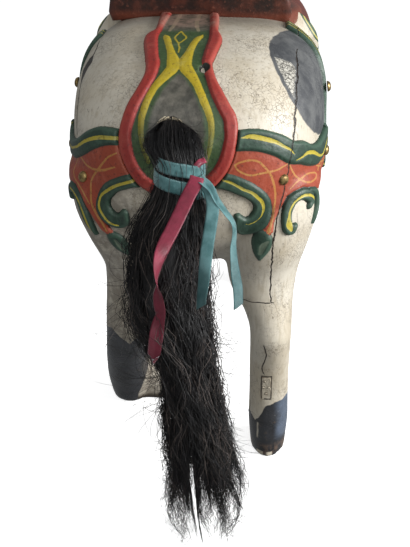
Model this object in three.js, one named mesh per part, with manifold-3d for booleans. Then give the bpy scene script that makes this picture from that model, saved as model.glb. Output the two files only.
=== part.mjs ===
// A small carved and painted carousel horse that stands on its four hooves, in millimetres.
// Until the last lines X is the horse's right, Y runs forward from the back of the rump and Z is up from the floor.
import * as THREE from "three";
import { mergeVertices } from "three/addons/utils/BufferGeometryUtils.js";
import Module from "manifold-3d";

const wasm = await Module();
wasm.setup();

// Driving dimensions.
const BACK_HEIGHT = 603; // floor to the top of the croup
const BARREL_LINE = 455; // height of the widest line of the body
const RUMP_CENTRE = 170; // how far the centre of the round rump is from its back
const CHEST_CENTRE = 620; // the same for the round chest
const WRAP_RADIUS = 170; // radius on which harness outlines are laid out, at the rump and the chest
const CRUPPER_HEIGHT = 430; // height of the axis over which the crupper is laid out
const HARNESS_RISE = 6; // how far carved straps stand out of the body
const CLOTH_RISE = 5; // the saddle cloth
const FLAP_RISE = 11; // the saddle flap over it
const FIT_GAP = 0.3; // air left round a separate piece
const DEEP = 600; // far enough out to pass every surface
const MESH_TOLERANCE = 0.6; // facets flatter or smaller than this may be merged by a join or a cut

const FINISH = {
  carved_horse: { color: 0xd8cfba, roughness: 0.55, metalness: 0 },
  horsehair: { color: 0x17130f, roughness: 0.6, metalness: 0 },
  teal_satin: { color: 0x2f6a6c, roughness: 0.4, metalness: 0 },
  crimson_satin: { color: 0x8e1f3e, roughness: 0.4, metalness: 0 },
  brass: { color: 0x8a6a35, roughness: 0.35, metalness: 1 },
  painted_plate: { color: 0xcfc0a0, roughness: 0.6, metalness: 0 },
};

// Turns a closed three.js geometry into a solid whose faces look outwards.
function solidFrom(geometry) {
  const bare = geometry.clone();
  bare.deleteAttribute("normal");
  bare.deleteAttribute("uv");
  const merged = mergeVertices(bare, 1e-3);
  const corners = Array.from(merged.index.array);
  const triangles = [];
  for (let i = 0; i < corners.length; i += 3) {
    const [a, b, c] = corners.slice(i, i + 3);
    if (a !== b && b !== c && c !== a) triangles.push(a, b, c);
  }
  const make = (triVerts) =>
    new wasm.Manifold(
      new wasm.Mesh({
        numProp: 3,
        tolerance: MESH_TOLERANCE,
        vertProperties: merged.attributes.position.array,
        triVerts: new Uint32Array(triVerts),
      }),
    );
  const made = make(triangles);
  return made.volume() > 0 ? made : make(triangles.reverse());
}

function geometryFrom(solid) {
  const found = solid.getMesh();
  const points = new Float32Array(found.numVert * 3);
  for (let i = 0; i < found.numVert; i++) {
    points.set(found.vertProperties.subarray(i * found.numProp, i * found.numProp + 3), i * 3);
  }
  const geometry = new THREE.BufferGeometry();
  geometry.setAttribute("position", new THREE.BufferAttribute(points, 3));
  geometry.setIndex(new THREE.BufferAttribute(found.triVerts, 1));
  geometry.computeVertexNormals();
  return geometry;
}

const joined = (solids) => solids.reduce((all, one) => all.add(one));

// Values between the rows of a list of stations, on a Catmull-Rom curve through every column.
function between(stations, steps) {
  const last = stations.length - 1;
  const slope = (i, k) => {
    const low = Math.max(i - 1, 0);
    const high = Math.min(i + 1, last);
    return (stations[high][k] - stations[low][k]) / (high - low);
  };
  const rows = [];
  for (let n = 0; n <= last * steps; n++) {
    const i = Math.min(Math.floor(n / steps), last - 1);
    const t = n / steps - i;
    rows.push(
      stations[i].map(
        (start, k) =>
          (2 * t ** 3 - 3 * t ** 2 + 1) * start +
          (t ** 3 - 2 * t ** 2 + t) * slope(i, k) +
          (3 * t ** 2 - 2 * t ** 3) * stations[i + 1][k] +
          (t ** 3 - t ** 2) * slope(i + 1, k),
      ),
    );
  }
  return rows;
}

// A closed form carried through stations [x, y, z, tilt, half width, reach up, reach down, fullness up, fullness
// down]. Each section lies across X and a direction tilted by so many degrees from Y towards Z. A fullness of 2
// gives an ellipse, and more gives a squarer curve.
function form(stations, steps, sides, rise = 0) {
  const rows = between(stations, steps);
  const sphere = new THREE.SphereGeometry(1, sides, rows.length + 1);
  sphere.deleteAttribute("normal");
  const round = sphere.attributes.uv;
  const places = sphere.attributes.position;
  for (let i = 0; i < places.count; i++) {
    const level = Math.round((1 - round.getY(i)) * (rows.length + 1));
    const row = rows[Math.min(Math.max(level - 1, 0), rows.length - 1)];
    const [x, y, z, tilt, half, up, down, fullUp, fullDown] = row;
    const isPole = level === 0 || level === rows.length + 1;
    const angle = 2 * Math.PI * round.getX(i);
    const power = 2 / (Math.sin(angle) > 0 ? fullUp : fullDown);
    const across = Math.sign(Math.cos(angle)) * Math.abs(Math.cos(angle)) ** power;
    const along = Math.sign(Math.sin(angle)) * Math.abs(Math.sin(angle)) ** power;
    const reach = isPole ? 0 : along * (along > 0 ? up : down);
    const lean = THREE.MathUtils.degToRad(tilt);
    places.setXYZ(
      i,
      x + (isPole ? 0 : across * half),
      y + reach * Math.cos(lean),
      z + reach * Math.sin(lean),
    );
  }
  sphere.deleteAttribute("uv");
  const closed = mergeVertices(sphere, 0.01);
  if (!rise) return solidFrom(closed);
  closed.computeVertexNormals();
  const facing = Math.sign(signedVolume(closed));
  const spots = closed.attributes.position;
  const normals = closed.attributes.normal;
  for (let i = 0; i < spots.count; i++) {
    spots.setXYZ(
      i,
      spots.getX(i) + facing * rise * normals.getX(i),
      spots.getY(i) + facing * rise * normals.getY(i),
      spots.getZ(i) + facing * rise * normals.getZ(i),
    );
  }
  return solidFrom(closed);
}

// Volume within a closed indexed geometry, below zero where its faces look inwards.
function signedVolume(geometry) {
  const at = geometry.attributes.position;
  const corner = (i) => new THREE.Vector3().fromBufferAttribute(at, geometry.index.getX(i));
  let volume = 0;
  for (let i = 0; i < geometry.index.count; i += 3) {
    volume += corner(i).dot(corner(i + 1).cross(corner(i + 2))) / 6;
  }
  return volume;
}

const mirrored = (stations) => stations.map(([x, ...rest]) => [-x, ...rest]);

// Stations of the body and limbs, as form() takes them.
const RUMP = [
  [0, -2, BARREL_LINE, 90, 30, 24, 40, 2.2, 2],
  [0, 6, BARREL_LINE, 90, 84, 62, 82, 2.3, 2],
  [0, 30, BARREL_LINE, 90, 125, 98, 112, 2.6, 2],
  [0, 75, BARREL_LINE, 90, 156, 126, 140, 3, 2.1],
  [0, 135, BARREL_LINE, 90, 172, 142, 150, 3.4, 2.2],
  [0, 200, BARREL_LINE, 90, 172, BACK_HEIGHT - BARREL_LINE, 148, 3.6, 2.2],
];
const BARREL = [
  [0, 280, BARREL_LINE, 90, 160, 146, 136, 3.4, 2.2],
  [0, 370, BARREL_LINE, 90, 150, 141, 128, 3, 2.2],
  [0, 460, BARREL_LINE, 90, 149, 141, 132, 2.8, 2.2],
  [0, 550, BARREL_LINE, 90, 154, 150, 142, 2.6, 2.2],
  [0, 630, BARREL_LINE, 90, 150, 158, 142, 2.4, 2.2],
  [0, 700, BARREL_LINE, 90, 130, 140, 126, 2.3, 2.2],
  [0, 750, BARREL_LINE, 90, 96, 105, 98, 2.2, 2.2],
  [0, 776, BARREL_LINE, 90, 50, 55, 55, 2, 2],
];
const TORSO = [...between(RUMP, 2), ...BARREL];
const RIGHT_HIND_LEG = [
  [100, 112, 440, 0, 70, 90, 84, 2.4, 2.2],
  [104, 106, 390, 0, 68, 92, 90, 2.4, 2.2],
  [108, 98, 345, 0, 50, 76, 76, 2.3, 2.2],
  [113, 90, 300, 0, 33, 56, 56, 2.2, 2.2],
  [113, 74, 250, 0, 29, 38, 46, 2.2, 2.2],
  [113, 64, 205, 0, 28.5, 32, 38, 2.2, 2.2],
  [112, 74, 155, 0, 28, 26, 28, 2.2, 2.2],
  [112, 85, 115, 0, 28, 28, 28, 2.2, 2.2],
  [112, 92, 82, 0, 28.5, 33, 32, 2.2, 2],
  [112, 98, 56, 0, 29, 40, 34, 2.2, 1.9],
  [112, 102, 28, 0, 27, 46, 35, 2.2, 1.8],
  [112, 105, 0, 0, 25, 50, 37, 2.2, 1.7],
];
const LEFT_HIND_LEG = [
  [-100, 112, 440, 0, 70, 90, 84, 2.4, 2.2],
  [-103, 112, 390, 0, 66, 92, 92, 2.4, 2.2],
  [-103, 114, 345, 0, 50, 76, 82, 2.3, 2.2],
  [-102, 118, 300, 0, 34, 56, 60, 2.2, 2.2],
  [-102, 122, 250, 0, 30, 40, 46, 2.2, 2.2],
  [-105, 134, 205, 0, 28.5, 34, 36, 2.2, 2.2],
  [-109, 156, 155, 0, 28, 29, 29, 2.2, 2.2],
  [-112, 178, 115, 0, 29, 29, 29, 2.2, 2.2],
  [-113, 200, 82, 0, 31, 34, 32, 2.2, 2],
  [-114, 217, 56, 0, 32, 40, 34, 2.2, 1.9],
  [-113, 230, 28, 0, 31, 44, 32, 2.2, 1.9],
  [-112, 238, 0, 0, 27, 44, 28, 2.2, 1.9],
];
const LEFT_HIND_TOE = [
  [-98, 228, 80, 0, 20, 24, 20, 2.2, 2.2],
  [-88, 238, 52, 0, 28, 34, 26, 2.2, 2.2],
  [-76, 247, 24, 0, 34, 40, 28, 2.2, 2.2],
  [-70, 251, 0, 0, 34, 40, 28, 2.2, 2.2],
];
// A foreleg for either side, set forward of its usual place by the given distance.
const foreleg = (forward) => [
  [84, 640, 440, 0, 60, 80, 84, 2.2, 2.2],
  [90, 645, 370, 0, 54, 66, 70, 2.2, 2.2],
  [93, 650 + 0.3 * forward, 315, 0, 40, 50, 52, 2.2, 2.2],
  [92, 656 + 0.6 * forward, 270, 0, 32, 38, 38, 2.2, 2.2],
  [91, 662 + forward, 215, 0, 31, 35, 30, 2.2, 2.2],
  [90, 662 + forward, 180, 0, 27, 27, 27, 2.2, 2.2],
  [89, 662 + forward, 130, 0, 25, 24, 25, 2.2, 2.2],
  [88, 665 + forward, 95, 0, 28, 28, 30, 2.2, 2.2],
  [88, 675 + forward, 70, 0, 26, 28, 26, 2.2, 2.2],
  [88, 684 + forward, 48, 0, 30, 35, 30, 2.2, 2],
  [88, 692 + forward, 0, 0, 35, 46, 38, 2.2, 1.9],
];
const NECK = [
  [0, 625, 495, 150, 116, 110, 125, 2.2, 2.2],
  [0, 680, 590, 150, 86, 100, 108, 2.2, 2.2],
  [0, 730, 680, 152, 62, 82, 80, 2.1, 2.2],
  [0, 775, 765, 150, 48, 66, 60, 2.1, 2.2],
  [0, 812, 832, 138, 41, 50, 46, 2.1, 2.2],
];
const HEAD = [
  [0, 792, 866, 82, 32, 24, 44, 2.2, 2.2],
  [0, 834, 856, 62, 49, 40, 68, 2.3, 2.2],
  [0, 880, 826, 51, 50, 40, 70, 2.5, 2.2],
  [0, 928, 784, 45, 37, 34, 50, 2.4, 2.2],
  [0, 972, 742, 42, 31, 29, 38, 2.3, 2.2],
  [0, 1008, 708, 40, 34, 29, 36, 2.2, 2.2],
  [0, 1030, 686, 40, 27, 23, 27, 2.1, 2.1],
];
const EAR = [
  [24, 800, 876, 0, 11, 9, 8, 2, 2],
  [29, 799, 896, 0, 14, 9, 9, 2, 2],
  [31, 802, 918, 0, 9, 6, 7, 2, 2],
  [30, 807, 934, 0, 2, 2, 2, 2, 2],
];

// The undressed horse, or the same with every surface moved out by a rise.
function undressed(rise) {
  return joined([
    form(TORSO, 1, 22, rise),
    form(RIGHT_HIND_LEG, 1, 10, rise),
    form(LEFT_HIND_LEG, 1, 10, rise),
    form(foreleg(-12), 1, 10, rise),
    form(mirrored(foreleg(14)), 1, 10, rise),
    form(NECK, 1, 14, rise),
    form(HEAD, 2, 12, rise),
  ]);
}

// A long solid over an outline, from one depth to another, before it is bent round the body.
function blockOver(outline, from, to) {
  const block = new THREE.ExtrudeGeometry(new THREE.Shape(outline), {
    depth: to - from,
    bevelEnabled: false,
    curveSegments: 1,
  });
  return block.translate(0, 0, from);
}

function bent(geometry, place) {
  const at = geometry.attributes.position;
  for (let i = 0; i < at.count; i++) {
    at.setXYZ(i, ...place(at.getX(i), at.getY(i), at.getZ(i)));
  }
  return solidFrom(geometry);
}

// Round the body at a level: round the rump, straight along the flank and round the chest.
const QUARTER = (WRAP_RADIUS * Math.PI) / 2;
const FLANK = CHEST_CENTRE - RUMP_CENTRE;
function roundBody(girth, height, depth) {
  if (girth <= QUARTER) {
    const turn = girth / WRAP_RADIUS;
    return [depth * Math.sin(turn), RUMP_CENTRE - depth * Math.cos(turn), height];
  }
  if (girth <= QUARTER + FLANK) return [depth, RUMP_CENTRE + girth - QUARTER, height];
  const turn = (girth - QUARTER - FLANK) / WRAP_RADIUS;
  return [depth * Math.cos(turn), CHEST_CENTRE + depth * Math.sin(turn), height];
}

// Over the body down its middle, from the loins across the croup to below the tail.
function overCroup(side, along, depth) {
  const turn = along / WRAP_RADIUS;
  return [side, RUMP_CENTRE - depth * Math.cos(turn), CRUPPER_HEIGHT + depth * Math.sin(turn)];
}

const curveThrough = (points, count) =>
  new THREE.SplineCurve(points.map(([a, b]) => new THREE.Vector2(a, b))).getPoints(count);

// The outline of a stroke [along, up, half width] drawn with a smoothly changing width.
function stroke(stations, steps) {
  const rows = between(stations, steps);
  const left = [];
  const right = [];
  rows.forEach(([a, b, half], i) => {
    const [a0, b0] = rows[Math.max(i - 1, 0)];
    const [a1, b1] = rows[Math.min(i + 1, rows.length - 1)];
    const across = new THREE.Vector2(b0 - b1, a1 - a0).normalize().multiplyScalar(half);
    left.push(new THREE.Vector2(a + across.x, b + across.y));
    right.unshift(new THREE.Vector2(a - across.x, b - across.y));
  });
  return [...left, ...right];
}

// Both sides of the horse, from the solid of its right side.
const bothSides = (solid) => {
  const other = solidFrom(geometryFrom(solid).scale(-1, 1, 1));
  return solid.add(other);
};

// Outlines of the breeching on one side, as distance round the rump and height.
const BREECHING_SCALLOP = [
  [60, 506, 8],
  [90, 509, 9],
  [116, 497, 9],
  [138, 478, 8],
];
const BREECHING_SECOND_SCALLOP = [
  [134, 474, 8],
  [160, 468, 8],
  [195, 474, 9],
  [235, 474, 9],
];
const BREECHING_FIELD = [
  [50, 508],
  [90, 506],
  [118, 492],
  [140, 472],
  [180, 468],
  [232, 474],
  [232, 428],
  [190, 424],
  [150, 424],
  [124, 408],
  [112, 392],
  [98, 392],
  [96, 420],
  [84, 440],
  [60, 450],
  [42, 450],
];
const BREECHING_SCROLL = [
  [36, 443, 6],
  [62, 445, 8],
  [86, 431, 9],
  [96, 408, 10],
  [88, 386, 10],
  [72, 386, 8],
  [68, 402, 5],
];
const BREECHING_SECOND_SCROLL = [
  [128, 378, 7],
  [131, 400, 8],
  [150, 417, 8],
  [180, 421, 7],
  [200, 406, 6],
  [206, 386, 4],
];
const BREECHING_STEM = [
  [112, 410, 9],
  [107, 392, 7],
  [101, 372, 8],
];
const BREECHING_LEAF = [
  [101, 378, 3],
  [101, 368, 13],
  [101, 355, 14],
  [101, 342, 6],
  [101, 337, 1],
];
const TRACE = [
  [225, 452, 23],
  [330, 450, 20],
  [470, 454, 19],
  [640, 468, 20],
  [760, 482, 22],
  [870, 486, 26],
  [990, 484, 30],
];
// Hip strap, as distance forward and height on the side of the body.
const HIP_STRAP = [
  [300, 612, 10],
  [262, 594, 10],
  [222, 548, 10],
  [196, 505, 10],
  [186, 470, 10],
];
// Crupper, as distance from its middle line and distance over the croup.
const CRUPPER_BOWL = [
  [0, 3],
  [26, 6],
  [52, 24],
  [70, 46],
  [76, 66],
  [71, 92],
  [60, 117],
  [51, 145],
  [47, 172],
];
const CRUPPER_BAND = [
  [45, 205],
  [45, 246],
  [54, 262],
  [44, 276],
  [42, 310],
  [42, 352],
];
const CRUPPER_BORDER = 13;

// The crupper's outline, drawn in from its edge by a margin.
function crupperOutline(margin) {
  const bowl = curveThrough(CRUPPER_BOWL, 10);
  const band = CRUPPER_BAND.map(([x, t]) => new THREE.Vector2(x, t));
  const right = [...bowl, ...band].map((p) => new THREE.Vector2(p.x - margin, p.y));
  right[0].set(0, bowl[0].y + margin);
  right[1].set(Math.max(right[1].x, 5), right[1].y + 0.9 * margin);
  right[2].y += 0.6 * margin;
  right[right.length - 1].y += margin;
  const left = right.slice(1).reverse();
  return [...right, ...left.map((p) => new THREE.Vector2(-p.x, p.y))];
}

function breeching(grown) {
  const outlines = [
    stroke(BREECHING_SCALLOP, 2),
    stroke(BREECHING_SECOND_SCALLOP, 2),
    BREECHING_FIELD.map(([s, z]) => new THREE.Vector2(s, z)),
    stroke(BREECHING_SCROLL, 2),
    stroke(BREECHING_SECOND_SCROLL, 2),
    stroke(BREECHING_STEM, 1),
    stroke(BREECHING_LEAF, 1),
    stroke(TRACE, 1),
  ];
  const blocks = outlines.map((outline) => bent(blockOver(outline, 40, DEEP), roundBody));
  const strap = bent(blockOver(stroke(HIP_STRAP, 1), 112, DEEP), (y, z, x) => [x, y, z]);
  return bothSides(grown.intersect(joined([...blocks, strap])));
}

// The crupper is a rolled border round a sunk panel.
function crupper(grown) {
  const whole = bent(blockOver(crupperOutline(0), 40, DEEP), overCroup);
  const panel = bent(blockOver(crupperOutline(CRUPPER_BORDER), 30, DEEP + 10), overCroup);
  return grown.intersect(whole.subtract(panel));
}

// Saddle, girth and cloth. Outlines are distance forward and height, right across the body.
const CLOTH = [
  [312, 700],
  [306, 470],
  [330, 440],
  [452, 424],
  [575, 440],
  [600, 470],
  [606, 700],
];
const FLAP = [
  [322, 700],
  [330, 560],
  [372, 500],
  [430, 462],
  [482, 462],
  [530, 510],
  [560, 590],
  [570, 700],
];
const SEAT = [
  [0, 282, 590, 90, 118, 34, 30, 2.6, 2],
  [0, 330, 592, 90, 118, 24, 30, 2.6, 2],
  [0, 400, 592, 90, 108, 15, 30, 2.4, 2],
  [0, 470, 594, 90, 98, 18, 30, 2.4, 2],
  [0, 530, 600, 90, 84, 34, 34, 2.2, 2],
  [0, 566, 606, 90, 62, 44, 40, 2.2, 2],
  [0, 590, 606, 90, 34, 30, 36, 2, 2],
];
const CANTLE_WIDTH = 262;
const CANTLE_BOTTOM = 598;
const CANTLE_TOP = 676;
const CANTLE_THICK = 22;
const CANTLE_BACK = 284; // where its rear face stands
const CANTLE_LEAN = 14; // degrees
const GIRTH_WIDTH = 42;
const GIRTH_MIDDLE = 452;

function acrossBody(outline, grown) {
  const shape = outline.map(([y, z]) => new THREE.Vector2(y, z));
  return grown.intersect(bent(blockOver(shape, -DEEP, DEEP), (y, z, x) => [x, y, z]));
}

// A rolled board behind the seat, arched above and hollowed a little below.
function cantle() {
  const half = CANTLE_WIDTH / 2;
  const rise = CANTLE_TOP - CANTLE_BOTTOM;
  const outline = new THREE.Shape();
  outline.moveTo(-half, -6);
  outline.quadraticCurveTo(0, 8, half, -6);
  outline.lineTo(half, 20);
  outline.quadraticCurveTo(half - 8, 42, half - 40, 52);
  outline.quadraticCurveTo(60, rise, 0, rise);
  outline.quadraticCurveTo(-60, rise, 40 - half, 52);
  outline.quadraticCurveTo(8 - half, 42, -half, 20);
  outline.closePath();
  const board = new THREE.ExtrudeGeometry(outline, {
    depth: CANTLE_THICK - 6,
    bevelSize: 3,
    bevelThickness: 3,
    bevelSegments: 1,
    curveSegments: 4,
  });
  board.rotateX(Math.PI / 2);
  board.rotateX(THREE.MathUtils.degToRad(CANTLE_LEAN));
  board.translate(0, CANTLE_BACK + CANTLE_THICK, CANTLE_BOTTOM);
  return solidFrom(board);
}

function saddle(grownCloth, grownFlap) {
  const band = new THREE.BoxGeometry(DEEP, GIRTH_WIDTH, DEEP);
  band.translate(0, GIRTH_MIDDLE, BARREL_LINE);
  return joined([
    acrossBody(CLOTH, grownCloth),
    acrossBody(FLAP, grownFlap),
    grownCloth.intersect(solidFrom(band)),
    form(SEAT, 1, 12),
    cantle(),
  ]);
}

// Mane: a crest and falling locks. Each lock hangs from the crest down the right side of the neck.
const LOCKS = 8;
const CREST = [
  [0, 612, 640, 148, 14, 20, 40, 2, 2],
  [0, 660, 710, 148, 15, 20, 40, 2, 2],
  [0, 712, 790, 148, 15, 18, 40, 2, 2],
  [0, 762, 850, 140, 15, 16, 36, 2, 2],
  [0, 800, 880, 110, 13, 12, 26, 2, 2],
];
const LOCK_LENGTH = 118;
const FORELOCK = [
  [2, 806, 884, 80, 12, 8, 12, 2, 2],
  [4, 838, 888, 62, 13, 9, 12, 2, 2],
  [8, 868, 872, 52, 10, 8, 10, 2, 2],
  [10, 892, 848, 48, 4, 4, 8, 2, 2],
];

function mane() {
  const roots = between(CREST, LOCKS);
  const parts = [form(CREST, 1, 8), form(FORELOCK, 1, 6)];
  for (let i = 0; i < LOCKS; i++) {
    const [, y, z] = roots[Math.round(((i + 0.6) / LOCKS) * (roots.length - 1))];
    const wave = i % 2 ? 1 : -1;
    const spread = THREE.MathUtils.lerp(1.15, 0.8, i / (LOCKS - 1));
    const hang = LOCK_LENGTH * spread;
    parts.push(
      form(
        [
          [6, y + 4, z + 4, 0, 12, 15, 15, 2, 2],
          [34 * spread, y + 8, z - 0.22 * hang, 0, 17, 20, 17, 2, 2],
          [56 * spread, y + 6 + 5 * wave, z - 0.5 * hang, 0, 15, 19, 16, 2, 2],
          [72 * spread, y - 4 * wave, z - 0.78 * hang, 0, 12, 14, 13, 2, 2],
          [86 * spread, y - 16 - 8 * wave, z - hang, 0, 4, 4, 4, 2, 2],
        ],
        1,
        6,
      ),
    );
  }
  return joined(parts);
}

// Bridle straps stand out of the head where a slab crosses it.
function bridle() {
  const grown = form(HEAD, 2, 12, 4);
  const slab = (wide, y, z, tilt) => {
    const band = new THREE.BoxGeometry(DEEP / 3, wide, DEEP / 3);
    band.rotateX(THREE.MathUtils.degToRad(tilt));
    return solidFrom(band.translate(0, y, z));
  };
  const noseband = grown.intersect(slab(18, 956, 758, 44));
  const headpiece = grown.intersect(slab(18, 826, 842, 66));
  return noseband.add(headpiece);
}

function eyes() {
  const right = new THREE.SphereGeometry(13, 10, 6).scale(0.7, 1.15, 1);
  right.rotateX(THREE.MathUtils.degToRad(-30)).translate(44, 886, 842);
  return bothSides(solidFrom(right));
}

// Where a straight line from outside first meets the carved surface, and which way the surface faces there.
function surfaceAt(carvedMesh, from, direction) {
  const ray = new THREE.Raycaster(new THREE.Vector3(...from), new THREE.Vector3(...direction).normalize());
  const [first] = ray.intersectObject(carvedMesh);
  return { point: first.point, normal: first.face.normal.clone() };
}

// Upright brass stud heads, each let into the strap by its flat base.
const STUD_RADIUS = 7.5;
const STUD_HEIGHT = 5;
const STUD_SEAT = 2;
const STUDS = {
  breeching_stud_right: [120, 447],
  breeching_stud_left: [-136, 440],
  flank_stud_right: [236, 452],
  flank_stud_left: [-236, 452],
  collar_stud_right: [800, 484],
  collar_stud_left: [-800, 484],
};
const HIP_STUDS = {
  hip_stud_right: 1,
  hip_stud_left: -1,
};

function studSpots(carvedMesh) {
  const spots = {};
  for (const [name, [girth, height]] of Object.entries(STUDS)) {
    const side = Math.sign(girth);
    const far = roundBody(Math.abs(girth), height, DEEP / 2);
    const near = roundBody(Math.abs(girth), height, 0);
    const inward = near.map((value, k) => value - far[k]);
    spots[name] = surfaceAt(carvedMesh, [side * far[0], far[1], far[2]], [side * inward[0], inward[1], 0]);
  }
  for (const [name, side] of Object.entries(HIP_STUDS)) {
    spots[name] = surfaceAt(carvedMesh, [side * DEEP, 205, 522], [-side, 0, 0]);
  }
  return spots;
}

function placed(geometry, { point, normal }) {
  const turn = new THREE.Quaternion().setFromUnitVectors(new THREE.Vector3(0, 1, 0), normal);
  return geometry.applyQuaternion(turn).translate(point.x, point.y, point.z);
}

function studHead() {
  const profile = [new THREE.Vector2(0, -STUD_SEAT), new THREE.Vector2(STUD_RADIUS, -STUD_SEAT)];
  const arcs = 2;
  for (let i = 0; i <= arcs; i++) {
    const turn = (i / arcs) * (Math.PI / 2);
    profile.push(new THREE.Vector2(STUD_RADIUS * Math.cos(turn), STUD_HEIGHT * Math.sin(turn)));
  }
  profile[profile.length - 1].x = 0;
  return new THREE.LatheGeometry(profile, 10);
}

function studSeat() {
  const radius = STUD_RADIUS + FIT_GAP;
  const seat = new THREE.CylinderGeometry(radius, radius, 4 * STUD_SEAT, 10);
  return seat.translate(0, STUD_SEAT - FIT_GAP, 0);
}

// The repair plate let into the back of the right hind leg, and its four round-headed screws.
const PLATE = { wide: 13, thick: 4, tall: 42, proud: 1.4 };
const PLATE_HEIGHT = 124;
const PLATE_SIDE = 109;
const SCREW_RADIUS = 1.7;
const SCREW_HEAD = 1;
const SCREWS = [
  [-2.5, 15],
  [-4, 3],
  [3.5, 3],
  [0, -9],
];

function onPlate(geometry, spot) {
  const lean = Math.atan2(spot.normal.z, -spot.normal.y);
  return geometry.rotateX(-lean).translate(PLATE_SIDE, spot.point.y, spot.point.z);
}

const plateBlock = (gap) =>
  new THREE.BoxGeometry(PLATE.wide + 2 * gap, PLATE.thick + gap, PLATE.tall + 2 * gap).translate(
    0,
    PLATE.thick / 2 - PLATE.proud + gap / 2,
    0,
  );

// Tail of real hair: a bush over the dock, drawn in at the tie, and a long skirt that hangs to near the floor.
const TAIL = [
  [-2, -4, 516, 118, 20, 20, 14, 2, 2],
  [-3, -26, 514, 140, 36, 26, 22, 2, 2],
  [-3, -44, 500, 165, 42, 26, 24, 2, 2],
  [-2, -52, 487, 175, 36, 24, 24, 2, 2],
  [-1, -57, 474, 178, 26, 19, 19, 2, 2],
  [-4, -62, 458, 178, 30, 20, 20, 2, 2],
  [-12, -74, 415, 176, 44, 26, 26, 2, 2],
  [-8, -88, 360, 176, 45, 28, 28, 2, 2],
  [4, -100, 300, 177, 38, 27, 27, 2, 2],
  [18, -112, 230, 177, 33, 25, 25, 2, 2],
  [26, -122, 160, 178, 36, 26, 26, 2, 2],
  [30, -130, 90, 178, 38, 26, 26, 2, 2],
  [33, -134, 35, 179, 30, 20, 20, 2, 2],
  [34, -135, 8, 180, 14, 10, 10, 2, 2],
];
// The teal ribbon goes round the tail, and its two ends hang down. The crimson one hangs from the same knot.
const TIE = [
  [-1, -54.6, 483.5, 178, 34, 24.5, 24.5, 2, 2],
  [-1, -57, 474, 178, 30, 22.5, 22.5, 2, 2],
  [-1, -59.4, 464.5, 178, 32, 23.5, 23.5, 2, 2],
];
const TEAL_WIDE_END = [
  [10, -78.8, 475, 178, 8, 1.4, 1.4, 3, 3],
  [17, -90, 448, 178, 8, 1, 1, 3, 3],
  [20, -110, 395, 178, 8, 1, 1, 3, 3],
  [17, -121, 345, 178, 8, 1, 1, 3, 3],
  [14, -127, 312, 178, 8, 1, 1, 3, 3],
];
const TEAL_NARROW_END = [
  [17, -76, 473, 178, 5, 1.6, 1.6, 3, 3],
  [36, -84, 450, 178, 4.5, 1, 1, 3, 3],
  [50, -88, 425, 178, 5, 1, 1, 3, 3],
  [54, -92, 385, 178, 5, 1, 1, 3, 3],
  [60, -96, 330, 178, 5, 1, 1, 3, 3],
];
const CRIMSON = [
  [3, -82.4, 478, 178, 8, 0.8, 0.8, 3, 3],
  [-10, -93, 446, 178, 8, 1, 1, 3, 3],
  [-30, -108, 400, 178, 8, 1, 1, 3, 3],
  [-38, -122, 345, 178, 8, 1, 1, 3, 3],
  [-36, -130, 300, 178, 8, 1, 1, 3, 3],
  [-38, -136, 262, 178, 2, 1, 1, 3, 3],
];

// The tail, or the room it needs with some air round it.
function hair(air) {
  const stations = TAIL.map(([x, y, z, tilt, half, up, down, ...fullness]) => [
    x, y, z, tilt, half + air, up + air, down + air, ...fullness,
  ]);
  return form(stations, 1, 14);
}

function tealRibbon() {
  const ends = [form(TEAL_WIDE_END, 2, 4), form(TEAL_NARROW_END, 2, 4)];
  return joined([form(TIE, 1, 14), ...ends]).subtract(hair(1));
}

function build() {
  const bare = undressed(0);
  const grown = undressed(HARNESS_RISE);
  const dressed = joined([
    bare,
    breeching(grown),
    crupper(grown),
    saddle(undressed(CLOTH_RISE), undressed(FLAP_RISE)),
    form(LEFT_HIND_TOE, 1, 10),
    form(EAR, 1, 8),
    form(mirrored(EAR), 1, 8),
    mane(),
    bridle(),
    eyes(),
  ]);
  const floor = solidFrom(new THREE.BoxGeometry(4 * DEEP, 4 * DEEP, DEEP).translate(0, 0, -DEEP / 2));
  let carved = dressed.subtract(floor);
  const carvedMesh = new THREE.Mesh(geometryFrom(carved));
  const pieces = [];

  for (const [name, spot] of Object.entries(studSpots(carvedMesh))) {
    carved = carved.subtract(solidFrom(placed(studSeat(), spot)));
    pieces.push([name, solidFrom(placed(studHead(), spot)), FINISH.brass]);
  }

  const spot = surfaceAt(carvedMesh, [PLATE_SIDE, -DEEP, PLATE_HEIGHT], [0, 1, 0]);
  carved = carved.subtract(solidFrom(onPlate(plateBlock(FIT_GAP), spot)));
  pieces.push(["repair_plate", solidFrom(onPlate(plateBlock(0), spot)), FINISH.painted_plate]);
  SCREWS.forEach(([x, z], i) => {
    const head = new THREE.CylinderGeometry(0.7 * SCREW_RADIUS, SCREW_RADIUS, SCREW_HEAD, 8);
    head.rotateX(Math.PI);
    head.translate(x, -PLATE.proud - FIT_GAP - SCREW_HEAD / 2, z);
    pieces.push([`plate_screw_${i + 1}`, solidFrom(onPlate(head, spot)), FINISH.painted_plate]);
  });

  const room = undressed(HARNESS_RISE + 2 * FIT_GAP);
  pieces.push(["horsehair_tail", hair(0).subtract(room), FINISH.horsehair]);
  pieces.push(["teal_ribbon", tealRibbon(), FINISH.teal_satin]);
  pieces.push(["crimson_ribbon", form(CRIMSON, 2, 4).subtract(hair(1)), FINISH.crimson_satin]);
  pieces.unshift(["carved_horse", carved, FINISH.carved_horse]);
  return pieces;
}

const horse = new THREE.Group();
for (const [name, solid, finish] of build()) {
  const piece = new THREE.Mesh(geometryFrom(solid), new THREE.MeshStandardMaterial(finish));
  piece.name = name;
  horse.add(piece);
}

// The origin is set under the middle of the whole object, on the floor.
const box = new THREE.Box3().setFromObject(horse);
const middle = box.getCenter(new THREE.Vector3());
for (const piece of horse.children) piece.position.set(-middle.x, -middle.y, -box.min.z);

export default horse;
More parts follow.
